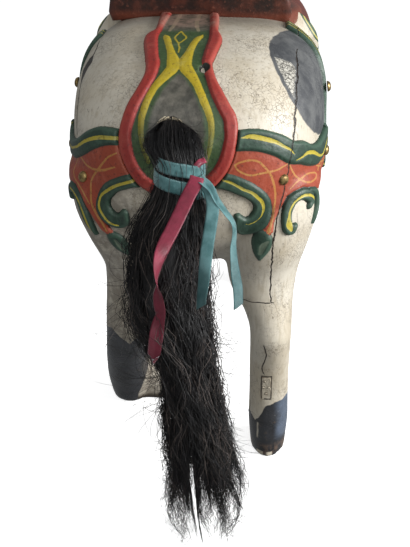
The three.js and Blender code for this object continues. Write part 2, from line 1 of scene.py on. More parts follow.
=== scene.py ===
import bmesh
import bpy
import numpy as np
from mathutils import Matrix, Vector


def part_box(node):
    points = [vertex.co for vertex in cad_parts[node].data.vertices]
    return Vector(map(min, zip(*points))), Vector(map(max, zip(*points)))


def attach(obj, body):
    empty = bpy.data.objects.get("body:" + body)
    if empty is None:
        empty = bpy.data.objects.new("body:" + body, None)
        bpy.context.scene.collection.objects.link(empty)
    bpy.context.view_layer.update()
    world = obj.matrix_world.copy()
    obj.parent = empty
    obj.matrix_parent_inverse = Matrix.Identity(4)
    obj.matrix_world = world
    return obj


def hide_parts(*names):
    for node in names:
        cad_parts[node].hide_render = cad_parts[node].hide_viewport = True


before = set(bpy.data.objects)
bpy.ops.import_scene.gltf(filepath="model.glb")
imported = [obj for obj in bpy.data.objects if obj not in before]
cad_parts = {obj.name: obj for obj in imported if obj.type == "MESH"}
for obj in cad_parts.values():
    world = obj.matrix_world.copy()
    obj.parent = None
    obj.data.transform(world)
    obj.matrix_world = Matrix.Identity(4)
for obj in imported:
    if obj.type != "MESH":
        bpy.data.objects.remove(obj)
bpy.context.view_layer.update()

# Camera. Someone stands a stride behind the horse, a little to its right, and looks down over the croup at the tail.
horse_low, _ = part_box("carved_horse")
REAR = horse_low.y + 0.008  # the back of the bare rump, from which the carver's lengths are measured
EYE = (0.128, REAR - 1.29, 0.900)
LOOK_DOWN = np.radians(24.0)
LOOK_LEFT = np.radians(4.5)
LENS = 71.7  # millimetres
camera_data = bpy.data.cameras.new("camera")
camera_data.lens = LENS
camera = bpy.data.objects.new("camera", camera_data)
camera.location = EYE
camera.rotation_euler = (np.pi / 2 - LOOK_DOWN, 0, LOOK_LEFT)
bpy.context.collection.objects.link(camera)
bpy.context.scene.camera = camera


# Body. The horse is glued up from pine and limewood boards, carved in the round, primed and painted cream. Its legs
# and neck are let into the body, and the joints are faired over, so all of it is one skin.
def between(stations, per):
    """Rows on a Catmull-Rom curve through every column of the stations, with per rows from each to the next."""
    rows = np.asarray(stations, float)
    slopes = np.gradient(rows, axis=0)
    at = np.linspace(0, len(rows) - 1, (len(rows) - 1) * per + 1)
    i = np.minimum(at.astype(int), len(rows) - 2)
    t = (at - i)[:, None]
    return (
        (2 * t**3 - 3 * t**2 + 1) * rows[i]
        + (t**3 - 2 * t**2 + t) * slopes[i]
        + (3 * t**2 - 2 * t**3) * rows[i + 1]
        + (t**3 - t**2) * slopes[i + 1]
    )


def in_frame(points):
    """Millimetres from the back of the rump, as metres in the frame."""
    return np.asarray(points, float) / 1000 + np.array([0, REAR, 0])


def capped(rings, first, last):
    """A closed skin over rings of points, with a pole at each end: quads between rings and a fan round each pole."""
    count, sides = rings.shape[:2]
    index = np.arange(count * sides).reshape(count, sides)
    after = np.roll(index, -1, axis=1)
    quads = np.stack([index[:-1], after[:-1], after[1:], index[1:]], -1).reshape(-1, 4)
    start, end = count * sides, count * sides + 1
    fans = [[start, b, a] for a, b in zip(index[0], after[0])]
    fans += [[end, a, b] for a, b in zip(index[-1], after[-1])]
    points = np.concatenate([rings.reshape(-1, 3), [first, last]])
    return points, quads.tolist() + fans


def form(stations, per=4, sides=40):
    """A closed form through stations [x, y, z, tilt, half width, up, down, fullness up, fullness down]. Each section is
    x + half * c across and up * s or down * s along a line tilted from Y towards Z, where c and s are the cosine and
    sine of the turn raised to 2 / fullness, so a fullness of 2 is an ellipse and more is squarer."""
    rows = between(stations, per)
    x, y, z, tilt, half, up, down, full_up, full_down = rows.T[:, :, None]
    turn = np.linspace(0, 2 * np.pi, sides, endpoint=False)
    cosine, sine = np.cos(turn), np.sin(turn)
    power = 2 / np.where(sine > 0, full_up, full_down)
    across = half * np.sign(cosine) * np.abs(cosine) ** power
    along = np.where(sine > 0, up, down) * np.sign(sine) * np.abs(sine) ** power
    lean = np.radians(tilt)
    rings = np.stack([x + across, y + along * np.cos(lean), z + along * np.sin(lean)], -1)
    return capped(rings, rows[0, :3], rows[-1, :3])


def gathered(solids):
    """Several skins as one list of points and one of faces."""
    points, faces, count = [], [], 0
    for skin, sides in solids:
        points.append(skin)
        faces += [[corner + count for corner in face] for face in sides]
        count += len(skin)
    return np.concatenate(points), faces


def piece(name, points, faces, smooth=True):
    """A mesh object at the origin. Its faces are turned to look outwards."""
    mesh = bpy.data.meshes.new(name)
    mesh.from_pydata(np.asarray(points, float).tolist(), [], faces)
    shell = bmesh.new()
    shell.from_mesh(mesh)
    bmesh.ops.recalc_face_normals(shell, faces=shell.faces)
    shell.to_mesh(mesh)
    shell.free()
    mesh.polygons.foreach_set("use_smooth", [smooth] * len(mesh.polygons))
    made = bpy.data.objects.new(name, mesh)
    bpy.context.collection.objects.link(made)
    return made


def worked_in(made):
    """The same piece with its modifiers worked into its mesh."""
    bpy.context.view_layer.update()
    mesh = bpy.data.meshes.new_from_object(made.evaluated_get(bpy.context.evaluated_depsgraph_get()))
    made.modifiers.clear()
    made.data = mesh
    return made


def modifier(made, kind, **settings):
    """Adds a modifier of the given kind, with its settings."""
    added = made.modifiers.new(kind.lower(), kind)
    for name, value in settings.items():
        setattr(added, name, value)
    return added


def keep(made, **layers):
    """Keeps values on a piece's points, for its material."""
    for layer, values in layers.items():
        kept = made.data.attributes.new(layer, "FLOAT", "POINT")
        kept.data.foreach_set("value", values.astype(np.float32))


def settle(made, slot, *nodes):
    """Every piece rides on the one body, and replaces the CAD nodes that are named. The slot is not used."""
    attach(made, "root")
    if nodes:
        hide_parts(*nodes)


def mirrored(stations):
    """The same stations on the horse's other side."""
    return [[-x, *rest] for x, *rest in stations]


def level(rows):
    """Stations whose sections are level: the tilt is 0, and a fullness that is left out is 2.2."""
    return [[x, y, z, 0, *(section + [2.2, 2.2])[:5]] for x, y, z, *section in rows]


BARREL_LINE = 455  # height of the widest line of the body
BACK_HEIGHT = 603  # floor to the top of the croup
TORSO = [[x, y, BARREL_LINE, 90, *section] for x, y, *section in [
    [3, -2, 30, 24, 40, 2.2, 2], [3, 6, 84, 62, 82, 2.3, 2], [4, 30, 124, 98, 112, 2.6, 2],
    [5, 75, 154, 126, 145, 3, 2.1], [6, 135, 169.5, 142, 158, 3.4, 2.2],
    [6, 200, 170, BACK_HEIGHT - BARREL_LINE, 154, 4.2, 2.2], [4, 280, 165, 146, 138, 4.6, 2.2],
    [1, 370, 156, 141, 128, 4.2, 2.2], [0, 460, 153, 141, 132, 3.6, 2.2], [0, 550, 154, 150, 142, 3, 2.2],
    [0, 630, 150, 158, 142, 2.5, 2.2], [0, 700, 130, 140, 126, 2.3, 2.2], [0, 750, 96, 105, 98, 2.2, 2.2],
    [0, 776, 50, 55, 55, 2, 2],
]]
RIGHT_HIND_LEG = level([
    [100, 112, 440, 70, 90, 84, 2.4], [102, 106, 390, 71, 92, 90, 2.4], [102, 98, 345, 60, 78, 80, 2.3],
    [99, 93, 305, 50, 60, 62], [100, 85, 275, 44, 48, 52], [107, 77, 250, 35, 40, 46], [112, 69, 225, 30, 34, 42],
    [113, 64, 205, 28.5, 32, 38], [112, 74, 155, 28, 26, 28], [112, 85, 115, 28, 28, 28],
    [112, 92, 82, 28.5, 33, 32, 2.2, 2], [112, 98, 56, 29, 40, 34, 2.2, 1.9], [112, 102, 28, 27, 46, 35, 2.2, 1.8],
    [112, 105, 0, 25, 50, 37, 2.2, 1.7],
])
LEFT_HIND_LEG = level([
    [-94, 112, 440, 69, 90, 84, 2.4], [-96, 112, 390, 65, 92, 92, 2.4], [-92, 114, 345, 53, 76, 82, 2.3],
    [-86, 117, 300, 39, 58, 62], [-88, 120, 275, 35, 48, 54], [-94, 123, 250, 30, 40, 46],
    [-100, 134, 205, 28.5, 34, 36], [-106, 156, 155, 28, 29, 29], [-110, 178, 115, 29, 29, 29],
    [-112, 200, 82, 31, 34, 32, 2.2, 2], [-113, 217, 56, 32, 40, 34, 2.2, 1.9],
    [-113, 230, 28, 31, 44, 32, 2.2, 1.9], [-112, 238, 0, 27, 44, 28, 2.2, 1.9],
])
LEFT_HIND_TOE = level([
    [-98, 228, 80, 20, 24, 20], [-88, 238, 52, 28, 34, 26], [-76, 247, 24, 34, 40, 28], [-70, 251, 0, 34, 40, 28],
])


def foreleg(forward):
    """A right foreleg, with its hoof set forward of its usual place."""
    return level([
        [84, 640, 440, 60, 80, 84], [90, 645, 370, 54, 66, 70], [93, 650 + 0.3 * forward, 315, 40, 50, 52],
        [92, 656 + 0.6 * forward, 270, 32, 38, 38], [91, 662 + forward, 215, 31, 35, 30],
        [90, 662 + forward, 180, 27, 27, 27], [89, 662 + forward, 130, 25, 24, 25],
        [88, 665 + forward, 95, 28, 28, 30], [88, 675 + forward, 70, 26, 28, 26],
        [88, 684 + forward, 48, 30, 35, 30, 2.2, 2], [88, 692 + forward, 0, 35, 46, 38, 2.2, 1.9],
    ])


NECK = [
    [0, 625, 495, 150, 116, 110, 125, 2.2, 2.2], [0, 680, 590, 150, 86, 100, 108, 2.2, 2.2],
    [0, 730, 680, 152, 62, 82, 80, 2.1, 2.2], [0, 775, 765, 150, 48, 66, 60, 2.1, 2.2],
    [0, 812, 832, 138, 41, 50, 46, 2.1, 2.2],
]
HEAD = [
    [0, 792, 866, 82, 32, 24, 44, 2.2, 2.2], [0, 834, 856, 62, 49, 40, 68, 2.3, 2.2],
    [0, 880, 826, 51, 50, 40, 70, 2.5, 2.2], [0, 928, 784, 45, 37, 34, 50, 2.4, 2.2],
    [0, 972, 742, 42, 31, 29, 38, 2.3, 2.2], [0, 1008, 708, 40, 34, 29, 36, 2.2, 2.2],
    [0, 1030, 686, 40, 27, 23, 27, 2.1, 2.1],
]
EAR = [
    [24, 800, 876, 0, 11, 9, 8, 2, 2], [29, 799, 896, 0, 14, 9, 9, 2, 2], [31, 802, 918, 0, 9, 6, 7, 2, 2],
    [30, 807, 934, 0, 2, 2, 2, 2, 2],
]
SKIN_GRAIN = 0.0045  # how fine the carved skin is
limbs = [TORSO, RIGHT_HIND_LEG, LEFT_HIND_LEG, LEFT_HIND_TOE, foreleg(-12), mirrored(foreleg(14)), NECK, HEAD]
limbs += [EAR, mirrored(EAR)]
points, faces = gathered([form(stations) for stations in limbs])
body = piece("carved_body", in_frame(points), faces)
modifier(body, "REMESH", mode="VOXEL", voxel_size=SKIN_GRAIN, use_smooth_shade=True)
modifier(body, "SMOOTH", factor=0.5, iterations=8)
worked_in(body)
settle(body, "painted_wood", "carved_horse")


class Shade:
    """One socket of a material. Arithmetic on it adds Math nodes, and node() adds a node of any other kind."""

    def __init__(self, tree, socket=None):
        self.tree = tree
        self.socket = socket

    def node(self, kind, settings=None, inputs=None, out=0):
        made = self.tree.nodes.new("ShaderNode" + kind)
        for name, value in (settings or {}).items():
            setattr(made, name, value)
        for name, value in (inputs or {}).items():
            if isinstance(value, Shade):
                self.tree.links.new(value.socket, made.inputs[name])
            else:
                made.inputs[name].default_value = value
        return Shade(self.tree, made.outputs[out] if made.outputs else None)

    def math(self, operation, *values):
        return self.node("Math", {"operation": operation}, dict(enumerate(values)))

    def __add__(self, other):
        return self.math("ADD", self, other)

    __radd__ = __add__

    def __sub__(self, other):
        return self.math("SUBTRACT", self, other)

    def __rsub__(self, other):
        return self.math("SUBTRACT", other, self)

    def __mul__(self, other):
        return self.math("MULTIPLY", self, other)

    __rmul__ = __mul__

    def __abs__(self):
        return self.math("ABSOLUTE", self)

    def least(self, other):
        return self.math("MINIMUM", self, other)

    def most(self, other):
        return self.math("MAXIMUM", self, other)

    def step(self, low, high):
        """0 below low and 1 above high, with a smooth change between them."""
        return self.node("MapRange", {"interpolation_type": "SMOOTHSTEP"}, {0: self, 1: low, 2: high})

    def between(self, colour, other):
        """The first colour where this value is 0 and the other where it is 1."""
        ends = [(*c, 1) if isinstance(c, tuple) else c for c in (colour, other)]
        return self.node("Mix", {"data_type": "RGBA"}, {0: self, 6: ends[0], 7: ends[1]}, 2)

    def place(self):
        """Where a point is on the object, in metres."""
        return self.node("TexCoord", out="Object")

    def axes(self, at):
        """The three coordinates of a place."""
        parts = self.node("SeparateXYZ", {}, {0: at}).socket.node.outputs
        return [Shade(self.tree, part) for part in parts]

    def gap(self, at, point):
        """How far a place is from a point."""
        return self.node("VectorMath", {"operation": "DISTANCE"}, {0: at, 1: point}, "Value")

    def inside(self, soft):
        """1 where this signed depth is above 0 and 0 where it is below, with a soft edge."""
        return self.step(-soft, soft)

    def noise(self, at, scale, detail=3.0, roughness=0.55):
        return self.node("TexNoise", {}, {"Vector": at, "Scale": scale, "Detail": detail, "Roughness": roughness})

    def stretched(self, at, x, y, z):
        return self.node("Mapping", {}, {"Vector": at, "Scale": (x, y, z)})

    def layer(self, name):
        """A value kept on the mesh's points."""
        return self.node("Attribute", {"attribute_name": name}, out="Fac")

    def finish(self, colour, roughness, relief=None, depth=0.001, **constants):
        """The surface itself: colour and roughness vary over it, relief is a height that only bends the light."""
        inputs = {"Base Color": colour, "Roughness": roughness, **constants}
        if relief is not None:
            inputs["Normal"] = self.node("Bump", {}, {"Height": relief, "Distance": depth, "Strength": 1.0})
        self.node("OutputMaterial", {}, {"Surface": self.node("BsdfPrincipled", {}, inputs)})


def material(name):
    """An empty node material, as the Shade that its nodes are made from, and the material itself."""
    made = bpy.data.materials.new(name)
    made.use_nodes = True
    made.node_tree.nodes.clear()
    return Shade(made.node_tree), made


def coats(colour, *layers):
    """Coats of paint over a first colour, each with how much of it covers and its own colour."""
    for amount, paint in layers:
        colour = amount.between(colour, paint)
    return colour


CREAM = (0.60, 0.555, 0.465)
CREAM_WARM = (0.47, 0.40, 0.285)
GRIME = (0.10, 0.07, 0.045)
OPEN_WOOD = (0.02, 0.014, 0.01)  # the dark of an open joint


def cream_paint(shade):
    """Old cream oil paint on wood: brush drag, a net of fine cracks and brown grime in them. Gives the object
    coordinates, its colour, its relief and where the net is."""
    at = shade.place()
    mottle = shade.noise(at, 14, 4, 0.6)
    drag = shade.noise(shade.stretched(at, 60, 60, 9), 3.0, 3, 0.6)
    bend = shade.noise(at, 90, 2)
    away = shade.node("TexNoise", {}, {"Vector": at, "Scale": 60.0, "Detail": 4.0, "Roughness": 0.7}, 1)
    pushed = shade.node("VectorMath", {"operation": "SCALE"}, {0: away, "Scale": 0.016})
    warped = shade.node("VectorMath", {"operation": "ADD"}, {0: at, 1: pushed})
    net = shade.node("TexVoronoi", {"feature": "DISTANCE_TO_EDGE"}, {"Vector": warped, "Scale": 165.0})
    checks = shade.noise(shade.stretched(at, 1, 1, 0.13), 260, 3, 0.7)
    net = (1 - net.step(0.0, 0.075)) * shade.noise(at, 19, 4, 0.7).step(0.40, 0.66)
    checks = checks.step(0.62, 0.70) * shade.noise(at, 30, 3).step(0.40, 0.58)
    stains = shade.noise(at, 5.5, 5, 0.68).step(0.50, 0.74)
    specks = shade.noise(at, 210, 4, 0.75).step(0.60, 0.72) * shade.noise(at, 12, 3).step(0.36, 0.6)
    colour = coats(
        CREAM, (mottle.step(0.35, 0.7) * 0.6, CREAM_WARM), (drag.step(0.48, 0.72) * 0.5, (0.36, 0.30, 0.205)),
        (stains * 0.42, (0.33, 0.265, 0.175)), (specks * 0.55, (0.22, 0.16, 0.09)), (net * 0.70, GRIME),
        (checks * 0.70, GRIME))
    relief = drag * 0.5 + bend * 0.3 - net * 0.6 - checks * 0.8
    return at, colour, relief, net


def right_joint(z):
    """How far out the open joint on the right of the rump is at a height, in metres."""
    return z.step(0.335, 0.53) * 0.0255 + 0.112


def hairline(offset, half, soft=0.0003):
    """1 along the line where the offset is 0, to half its width on each side."""
    return (half - abs(offset)).inside(soft)


shade, painted_skin = material("painted_skin")
at, colour, relief, net = cream_paint(shade)
x, y, z = shade.axes(at)
y = y - REAR
wobble = shade.noise(at, 26, 3) - 0.5
fine_wobble = shade.noise(at, 110, 2) - 0.5
soot = shade.noise(at, 75, 4, 0.7)
# dust lies under the saddle's back edge, and the left thigh is darkened low down in blotches, as dirt and as painted
# shade on the side away from the light
dust = y.step(0.175, 0.262) * z.step(0.575, 0.59) * (1 - y.step(0.30, 0.31))
colour = (dust * 0.62).between(colour, (0.20, 0.185, 0.155))
soil_and_shade = (0 - x).step(0.01, 0.07) * (0.46 - z + wobble * 0.1).step(0.0, 0.06) * soot.step(0.25, 0.60)
colour = (soil_and_shade * 0.72).between(colour, (0.17, 0.14, 0.11))
# the glue line on the right of the rump has opened from the saddle's strap to the hock
to_edge = x - right_joint(z) + wobble * 0.008 + fine_wobble * 0.0055
behind = (0.165 - y).step(0.0, 0.003)
right_board = (1 - abs(to_edge).step(0.0004, 0.0013)) * z.step(0.267, 0.271) * (1 - z.step(0.580, 0.588)) * behind
# the slate blue patch there is worn back to craquelure between its edge and that line
SLATE_CENTRE = (0.352, REAR + 0.119, 0.674)
SLATE_REACH = 0.265
off_centre = shade.gap(at, SLATE_CENTRE) + wobble * 0.010
slate = off_centre.step(SLATE_REACH + 0.001, SLATE_REACH - 0.001) * x.step(0.0, 0.01)
slate_paint = shade.noise(at, 40, 4, 0.65).step(0.35, 0.7).between((0.050, 0.053, 0.058), (0.115, 0.118, 0.118))
colour = slate.between(colour, slate_paint)
worn = off_centre.step(SLATE_REACH - 0.004, SLATE_REACH - 0.006) * (0 - to_edge).step(0.001, 0.004) * x.step(0.0, 0.01)
worn = worn * (0.117 - y + wobble * 0.02).step(0.0, 0.003)
worn_net = shade.node("TexVoronoi", {"feature": "DISTANCE_TO_EDGE"}, {"Vector": at, "Scale": 210.0}).step(0.02, 0.14)
colour = worn.between(colour, (worn_net * soot.step(0.80, 0.46)).between((0.085, 0.08, 0.07), (0.50, 0.48, 0.42)))
# black stockings on the hooves: that of the left hind leg is higher, and leaves the side of its toe cream
is_behind = (0.35 - y).step(0.0, 0.01)
is_left_hind = (0 - x).step(0.0, 0.01) * is_behind
is_right_hind = x.step(0.0, 0.01) * is_behind
left_top = 0.144 + (-0.096 - x).most(0) * 1.5 + (x + 0.096).most(0) * 0.93
right_top = 0.061 + (0.094 - x).most(0) * 1.3 + x.step(0.092, 0.112) * 0.031 + (x - 0.112).most(0) * 0.45
stocking_top = 0.086 + is_left_hind * (left_top.least(0.178) - 0.086) + is_right_hind * (right_top - 0.086)
stocking = (stocking_top + wobble * 0.012 + fine_wobble * 0.006 - z).inside(0.0006)
toe_edge = -0.099 + z.step(0.0, 0.070) * 0.018 + wobble * 0.01
toe = is_left_hind * (x - toe_edge).inside(0.0006) * (0.105 - z).step(0.0, 0.004)
# painted shadow and a brown spot are laid along the foot of the cream toe
toe_foot_shadow_and_spot = toe * (z + wobble * 0.02).step(0.016, 0.006)
colour = coats(colour, (toe * net * 0.6, GRIME), (toe_foot_shadow_and_spot, (0.05, 0.035, 0.02)))
tips = is_right_hind * (0.0048 - abs(abs(x - 0.1085) - 0.0070) + wobble * 0.003).step(-0.0005, 0.0008)
tips = tips * (0.009 - z).step(-0.001, 0.001) * z.step(0.0005, 0.002)
sliver = is_right_hind * hairline(x - 0.0978 + wobble * 0.004, 0.0012, 0.0004)
sliver = sliver * z.step(0.029, 0.034) * (0.061 - z).step(0.0, 0.003)
black = shade.noise(at, 30, 3).step(0.3, 0.7).between((0.016, 0.016, 0.017), (0.040, 0.041, 0.046))
# painted reflection: a blue-grey glint of the sky on the right side of the right hind hoof
sky_glint = is_right_hind * (x + wobble * 0.02).step(0.121, 0.134) * (z + wobble * 0.03).step(0.022, 0.04)
rubbed_toe = is_right_hind * (0.026 - z + wobble * 0.02).step(0.0, 0.008) * soot.step(0.4, 0.6)
black = coats(black, (soot.step(0.60, 0.72) * 0.5, (0.12, 0.085, 0.06)),
              (sky_glint * (0.35 + soot * 0.7), (0.13, 0.165, 0.225)), (rubbed_toe * 0.8, (0.13, 0.085, 0.06)))
painted_black = stocking * (1 - toe) * (1 - tips.most(sliver * 0.8))
colour = painted_black.between(colour, black)
# the smaller splits: at the left of the rump, above the plate, and round the right hock
left_edge = z.step(0.545, 0.580) * 0.014 - 0.148
left_half = z.step(0.540, 0.556) * z.step(0.574, 0.566) * 0.0026 + 0.0006
left_board = hairline(x - left_edge + wobble * 0.006, left_half, 0.0004)
left_board = left_board * z.step(0.480, 0.486) * (1 - z.step(0.582, 0.588)) * (0.2 - y).step(0.0, 0.01)
snake = shade.math("SINE", (z - 0.1765) * 116.4) * 0.0026 + 0.1055
above_plate = hairline(x - snake + fine_wobble * 0.003, 0.0007) * z.step(0.149, 0.152)
above_plate = above_plate * (0.208 - z).step(0.0, 0.003) * (0.056 - y).step(0.0, 0.002)
round_hock = hairline(z - 0.268 + wobble * 0.006 + fine_wobble * 0.003, 0.0006)
round_hock = round_hock * x.step(0.066, 0.072) * (0.117 - x).step(0.0, 0.002) * (0.075 - y).step(0.0, 0.01)
from_plate = (abs(x - 0.109) - 0.0065).most(abs(z - 0.1255) - 0.021)
round_plate = (0.0011 - abs(from_plate + fine_wobble * 0.002)).step(-0.0004, 0.0005) * is_right_hind
opened = right_board.most(left_board).most(above_plate).most(round_hock).most(round_plate * 0.8)
colour = opened.between(colour, OPEN_WOOD)
shade.finish(colour, 0.48 + wobble * 0.2 - painted_black * 0.22, relief * 0.35 - opened * 2.0 + wobble * 0.8, 0.0012)
body.data.materials.append(painted_skin)


# Crupper. It runs from the saddle over the croup and widens into a bowl round the root of the tail. It is carved with a
# rolled red border round a sunk green field, on which two yellow bands cross above the tail.
WRAP_RADIUS = 170  # radius on which the harness is drawn round the rump and the chest
RUMP_CENTRE = 170  # how far the centre of the round rump is from its back
CROUP_CENTRE = 430  # height of the axis over which the crupper is drawn
LOWEST = -2.5  # how far below the skin relief dips beyond its outline


def stroke_depth(a, b, stations, per=24):
    """How far points (a, b) lie inside a stroke: the half width less the distance to the nearest of the closely spaced
    points along its middle line, so it is above 0 inside."""
    rows = between(stations, per)
    depth = np.full(a.shape, -1e3)
    near = (a > rows[:, 0].min() - 40) & (a < rows[:, 0].max() + 40)
    near &= (b > rows[:, 1].min() - 40) & (b < rows[:, 1].max() + 40)
    gap = np.hypot(a[near][:, None] - rows[:, 0], b[near][:, None] - rows[:, 1])
    depth[near] = (rows[:, 2] - gap).max(-1)
    return depth


def patch_depth(a, b, outline):
    """How far points (a, b) lie inside a closed outline: the distance to its nearest edge, with a sign from how many
    edges a level line from the point crosses."""
    starts = np.asarray(outline, float)
    ends = np.roll(starts, -1, axis=0)
    distance = np.full(a.shape, 1e3)
    inside = np.zeros(a.shape, bool)
    for (a0, b0), (a1, b1) in zip(starts, ends):
        run = np.array([a1 - a0, b1 - b0])
        share = np.clip(((a - a0) * run[0] + (b - b0) * run[1]) / (run @ run), 0, 1)
        distance = np.minimum(distance, np.hypot(a - a0 - share * run[0], b - b0 - share * run[1]))
        crosses = (b0 > b) != (b1 > b)
        inside ^= crosses & (a < a0 + (b - b0) * run[0] / (run[1] or 1e-9))
    return np.where(inside, distance, -distance)


def strokes_depth(a, b, strokes, per=24):
    """The same for several strokes: the depth in whichever is nearest."""
    return np.max([stroke_depth(a, b, one, per) for one in strokes], axis=0)


def rounded(depth, edge, height):
    """A raised form whose edge is a quarter round of the given width. It dips below the skin outside its outline."""
    inside = np.clip(depth / edge, 0, 1)
    return np.where(depth > 0, height * np.sqrt(1 - (1 - inside) ** 2), np.maximum(1.5 * depth, LOWEST))


def softened(grid, times):
    """Each value of a grid averaged with its neighbours along both directions, so many times over."""
    for _ in range(times):
        for axis in (0, 1):
            middle = np.moveaxis(grid, axis, 0).copy()
            middle[1:-1] = (middle[:-2] + 2 * middle[1:-1] + middle[2:]) / 4
            grid = np.moveaxis(middle, 0, axis)
    return grid


def grid_faces(rows, columns):
    """The quads of a grid of points."""
    index = np.arange(rows * columns).reshape(rows, columns)
    return np.stack([index[:-1, :-1], index[1:, :-1], index[1:, 1:], index[:-1, 1:]], -1).reshape(-1, 4)


def onto_body(grid):
    """A grid of points that stands off the body, cast onto it square to the grid, and the way it faces there."""
    rows, columns = grid.shape[:2]
    sheet = bpy.data.meshes.new("cast")
    sheet.from_pydata(grid.reshape(-1, 3).tolist(), [], grid_faces(rows, columns).tolist())
    cast = bpy.data.objects.new("cast", sheet)
    bpy.context.collection.objects.link(cast)
    modifier(cast, "SHRINKWRAP", target=body, wrap_method="PROJECT", use_negative_direction=True)
    worked_in(cast)
    landed = np.zeros(rows * columns * 3)
    cast.data.vertices.foreach_get("co", landed)
    bpy.data.objects.remove(cast)
    landed = softened(landed.reshape(rows, columns, 3), 6)
    facing = np.cross(np.gradient(landed, axis=0), np.gradient(landed, axis=1))
    facing = softened(facing / np.linalg.norm(facing, axis=-1, keepdims=True), 6)
    outward = np.sign((facing * (grid - landed)).sum(-1).mean())
    return landed, facing * outward


def carved_patch(name, landed, facing, height, middle, **layers):
    """Relief of a height in millimetres on a grid that lies on the body. Only the faces that rise near the skin are
    kept. Each edge that has one face left goes down to one point deep in the wood, so the piece is closed. Each layer
    is a value kept on its points."""
    skin = (landed + facing * height[..., None] / 1000).reshape(-1, 3)
    quads = grid_faces(*height.shape)
    quads = quads[height.reshape(-1)[quads].max(-1) > LOWEST + 0.1]
    edges = np.sort(np.stack([quads, np.roll(quads, -1, axis=1)], -1).reshape(-1, 2), axis=1)
    edges, faces_on = np.unique(edges, axis=0, return_counts=True)
    rim = edges[faces_on == 1]
    used, quads_used = np.unique(quads, return_inverse=True)
    rim_used = np.searchsorted(used, rim)
    fan = np.column_stack([rim_used, np.full(len(rim), len(used))])
    made = piece(name, np.concatenate([skin[used], [middle]]), quads_used.reshape(-1, 4).tolist() + fan.tolist())
    # hollow is how far the relief lies below a softened copy of itself; the paints darken there as dirt and as painted
    # shade
    layers = {"hollow": softened(height, 14) - height, **layers}
    keep(made, **{layer: np.append(value.reshape(-1)[used], value.min()) for layer, value in layers.items()})
    settle(made, "painted_wood")
    return made


CRUPPER_BORDER = [
    [[-52, 384, 9.5], [-50, 330, 7], [-49.5, 268, 5.5], [-55.5, 238, 9.5], [-49, 187, 9], [-45.5, 169, 9.5],
     [-46.5, 149, 8.7], [-55, 127, 8.2], [-64.5, 108, 8.7], [-70.5, 91, 8.7], [-73.5, 76, 8.7], [-72.5, 60, 9],
     [-68, 45, 8.5], [-60, 30, 8.5], [-48, 17, 9], [-30, 8, 9], [-8, 4, 9]],
    [[16, 384, 7], [22, 320, 6.5], [25, 270, 6], [29.5, 234, 9], [25, 187, 8], [23.5, 170, 6.7], [30, 145, 6.5],
     [38.5, 125, 8], [48, 108, 8.5], [55.5, 96, 8.7], [57.8, 84, 8.7], [57.5, 70, 8.2], [53.5, 52, 8.5],
     [46, 36, 8.5], [34, 22, 8.8], [16, 10, 9], [-8, 4, 9]],
]
CRUPPER_BANDS = [
    [[-38, 246, 0.5], [-35, 236, 4.5], [-29, 210, 4.6], [-24, 190, 5.5], [-20, 174, 8], [-19, 161, 8.5],
     [-27, 147, 6.5], [-38, 132, 5], [-46, 116, 4.8], [-51, 101, 4.4], [-53, 91, 4], [-53, 77, 3.5], [-50, 60, 3],
     [-44, 44, 2.5]],
    [[12, 247, 0.5], [8, 236, 4.5], [3, 218, 4.6], [-1, 192, 5.5], [-4, 174, 8], [-3, 161, 8.5], [6, 147, 6.5],
     [14, 133, 5], [22, 116, 4.8], [29, 102, 4.4], [33, 90, 4], [34, 76, 3.5], [32, 60, 3], [27, 44, 2.5]],
]
CRUPPER_UPPER_LINES = [
    [[-31, 378, 3], [-30, 330, 3], [-31, 290, 2.8], [-34, 262, 2.2]],
    [[-3, 378, 3], [-2, 330, 3], [0, 290, 2.8], [5, 262, 2.2]],
]
CRUPPER_DIAMOND = [
    [[-18, 261, 1.1], [-21, 250, 1.2], [-24, 237, 1.2], [-21, 226, 1.2], [-17, 216, 1.1]],
    [[-18, 261, 1.1], [-14, 249, 1.2], [-9, 237, 1.2], [-12, 226, 1.2], [-17, 216, 1.1], [-15, 204, 1.2],
     [-15, 192, 1.0]],
]
CRUPPER_FIELD = [[-50, 386], [-50, 268], [-56, 240], [-46, 180], [-47, 149], [-64, 108], [-73, 76], [-68, 45],
                 [-48, 17], [-8, 6], [34, 22], [53, 52], [58, 84], [48, 108], [30, 145], [24, 170], [25, 187],
                 [30, 234], [25, 270], [16, 386]]
TAIL_GROUND = [[-10, 152], [-20, 141], [-32, 122], [-42, 100], [-46, 76], [-40, 50], [-10, 36], [20, 50], [27, 76],
               [23, 98], [12, 122], [0, 141]]


# a place on the crupper is (x, t): x across, and t over the croup from the level of its axis
x, t = np.meshgrid(np.arange(-98, 82, 1.3), np.arange(-12, 386, 1.3), indexing="ij")
turn = t / WRAP_RADIUS
stand_off = 270
grid = np.stack([x, RUMP_CENTRE - stand_off * np.cos(turn), CROUP_CENTRE + stand_off * np.sin(turn)], -1)
landed, facing = onto_body(in_frame(grid))
border = strokes_depth(x, t, CRUPPER_BORDER)
bands = strokes_depth(x, t, CRUPPER_BANDS)
upper = strokes_depth(x, t, CRUPPER_UPPER_LINES)
diamond = strokes_depth(x, t, CRUPPER_DIAMOND, 40)
field = patch_depth(x, t, CRUPPER_FIELD)
ground = patch_depth(x, t, TAIL_GROUND)
chip = 8 - np.hypot((x - 21) / 0.9, t - 160)
height = np.maximum(rounded(border, 5, 6.5), rounded(field, 3, 3.4))
height += 0.8 * np.clip(bands / 3, 0, 1) - 1.2 * np.clip(ground / 8, 0, 1)
height -= 5.0 * np.clip(chip / 4, 0, 1)
crupper = carved_patch("crupper", landed, facing, height, in_frame([-8, RUMP_CENTRE, CROUP_CENTRE]), border=border,
                       bands=bands, upper=upper, diamond=diamond, ground=ground, chip=chip, along=t)


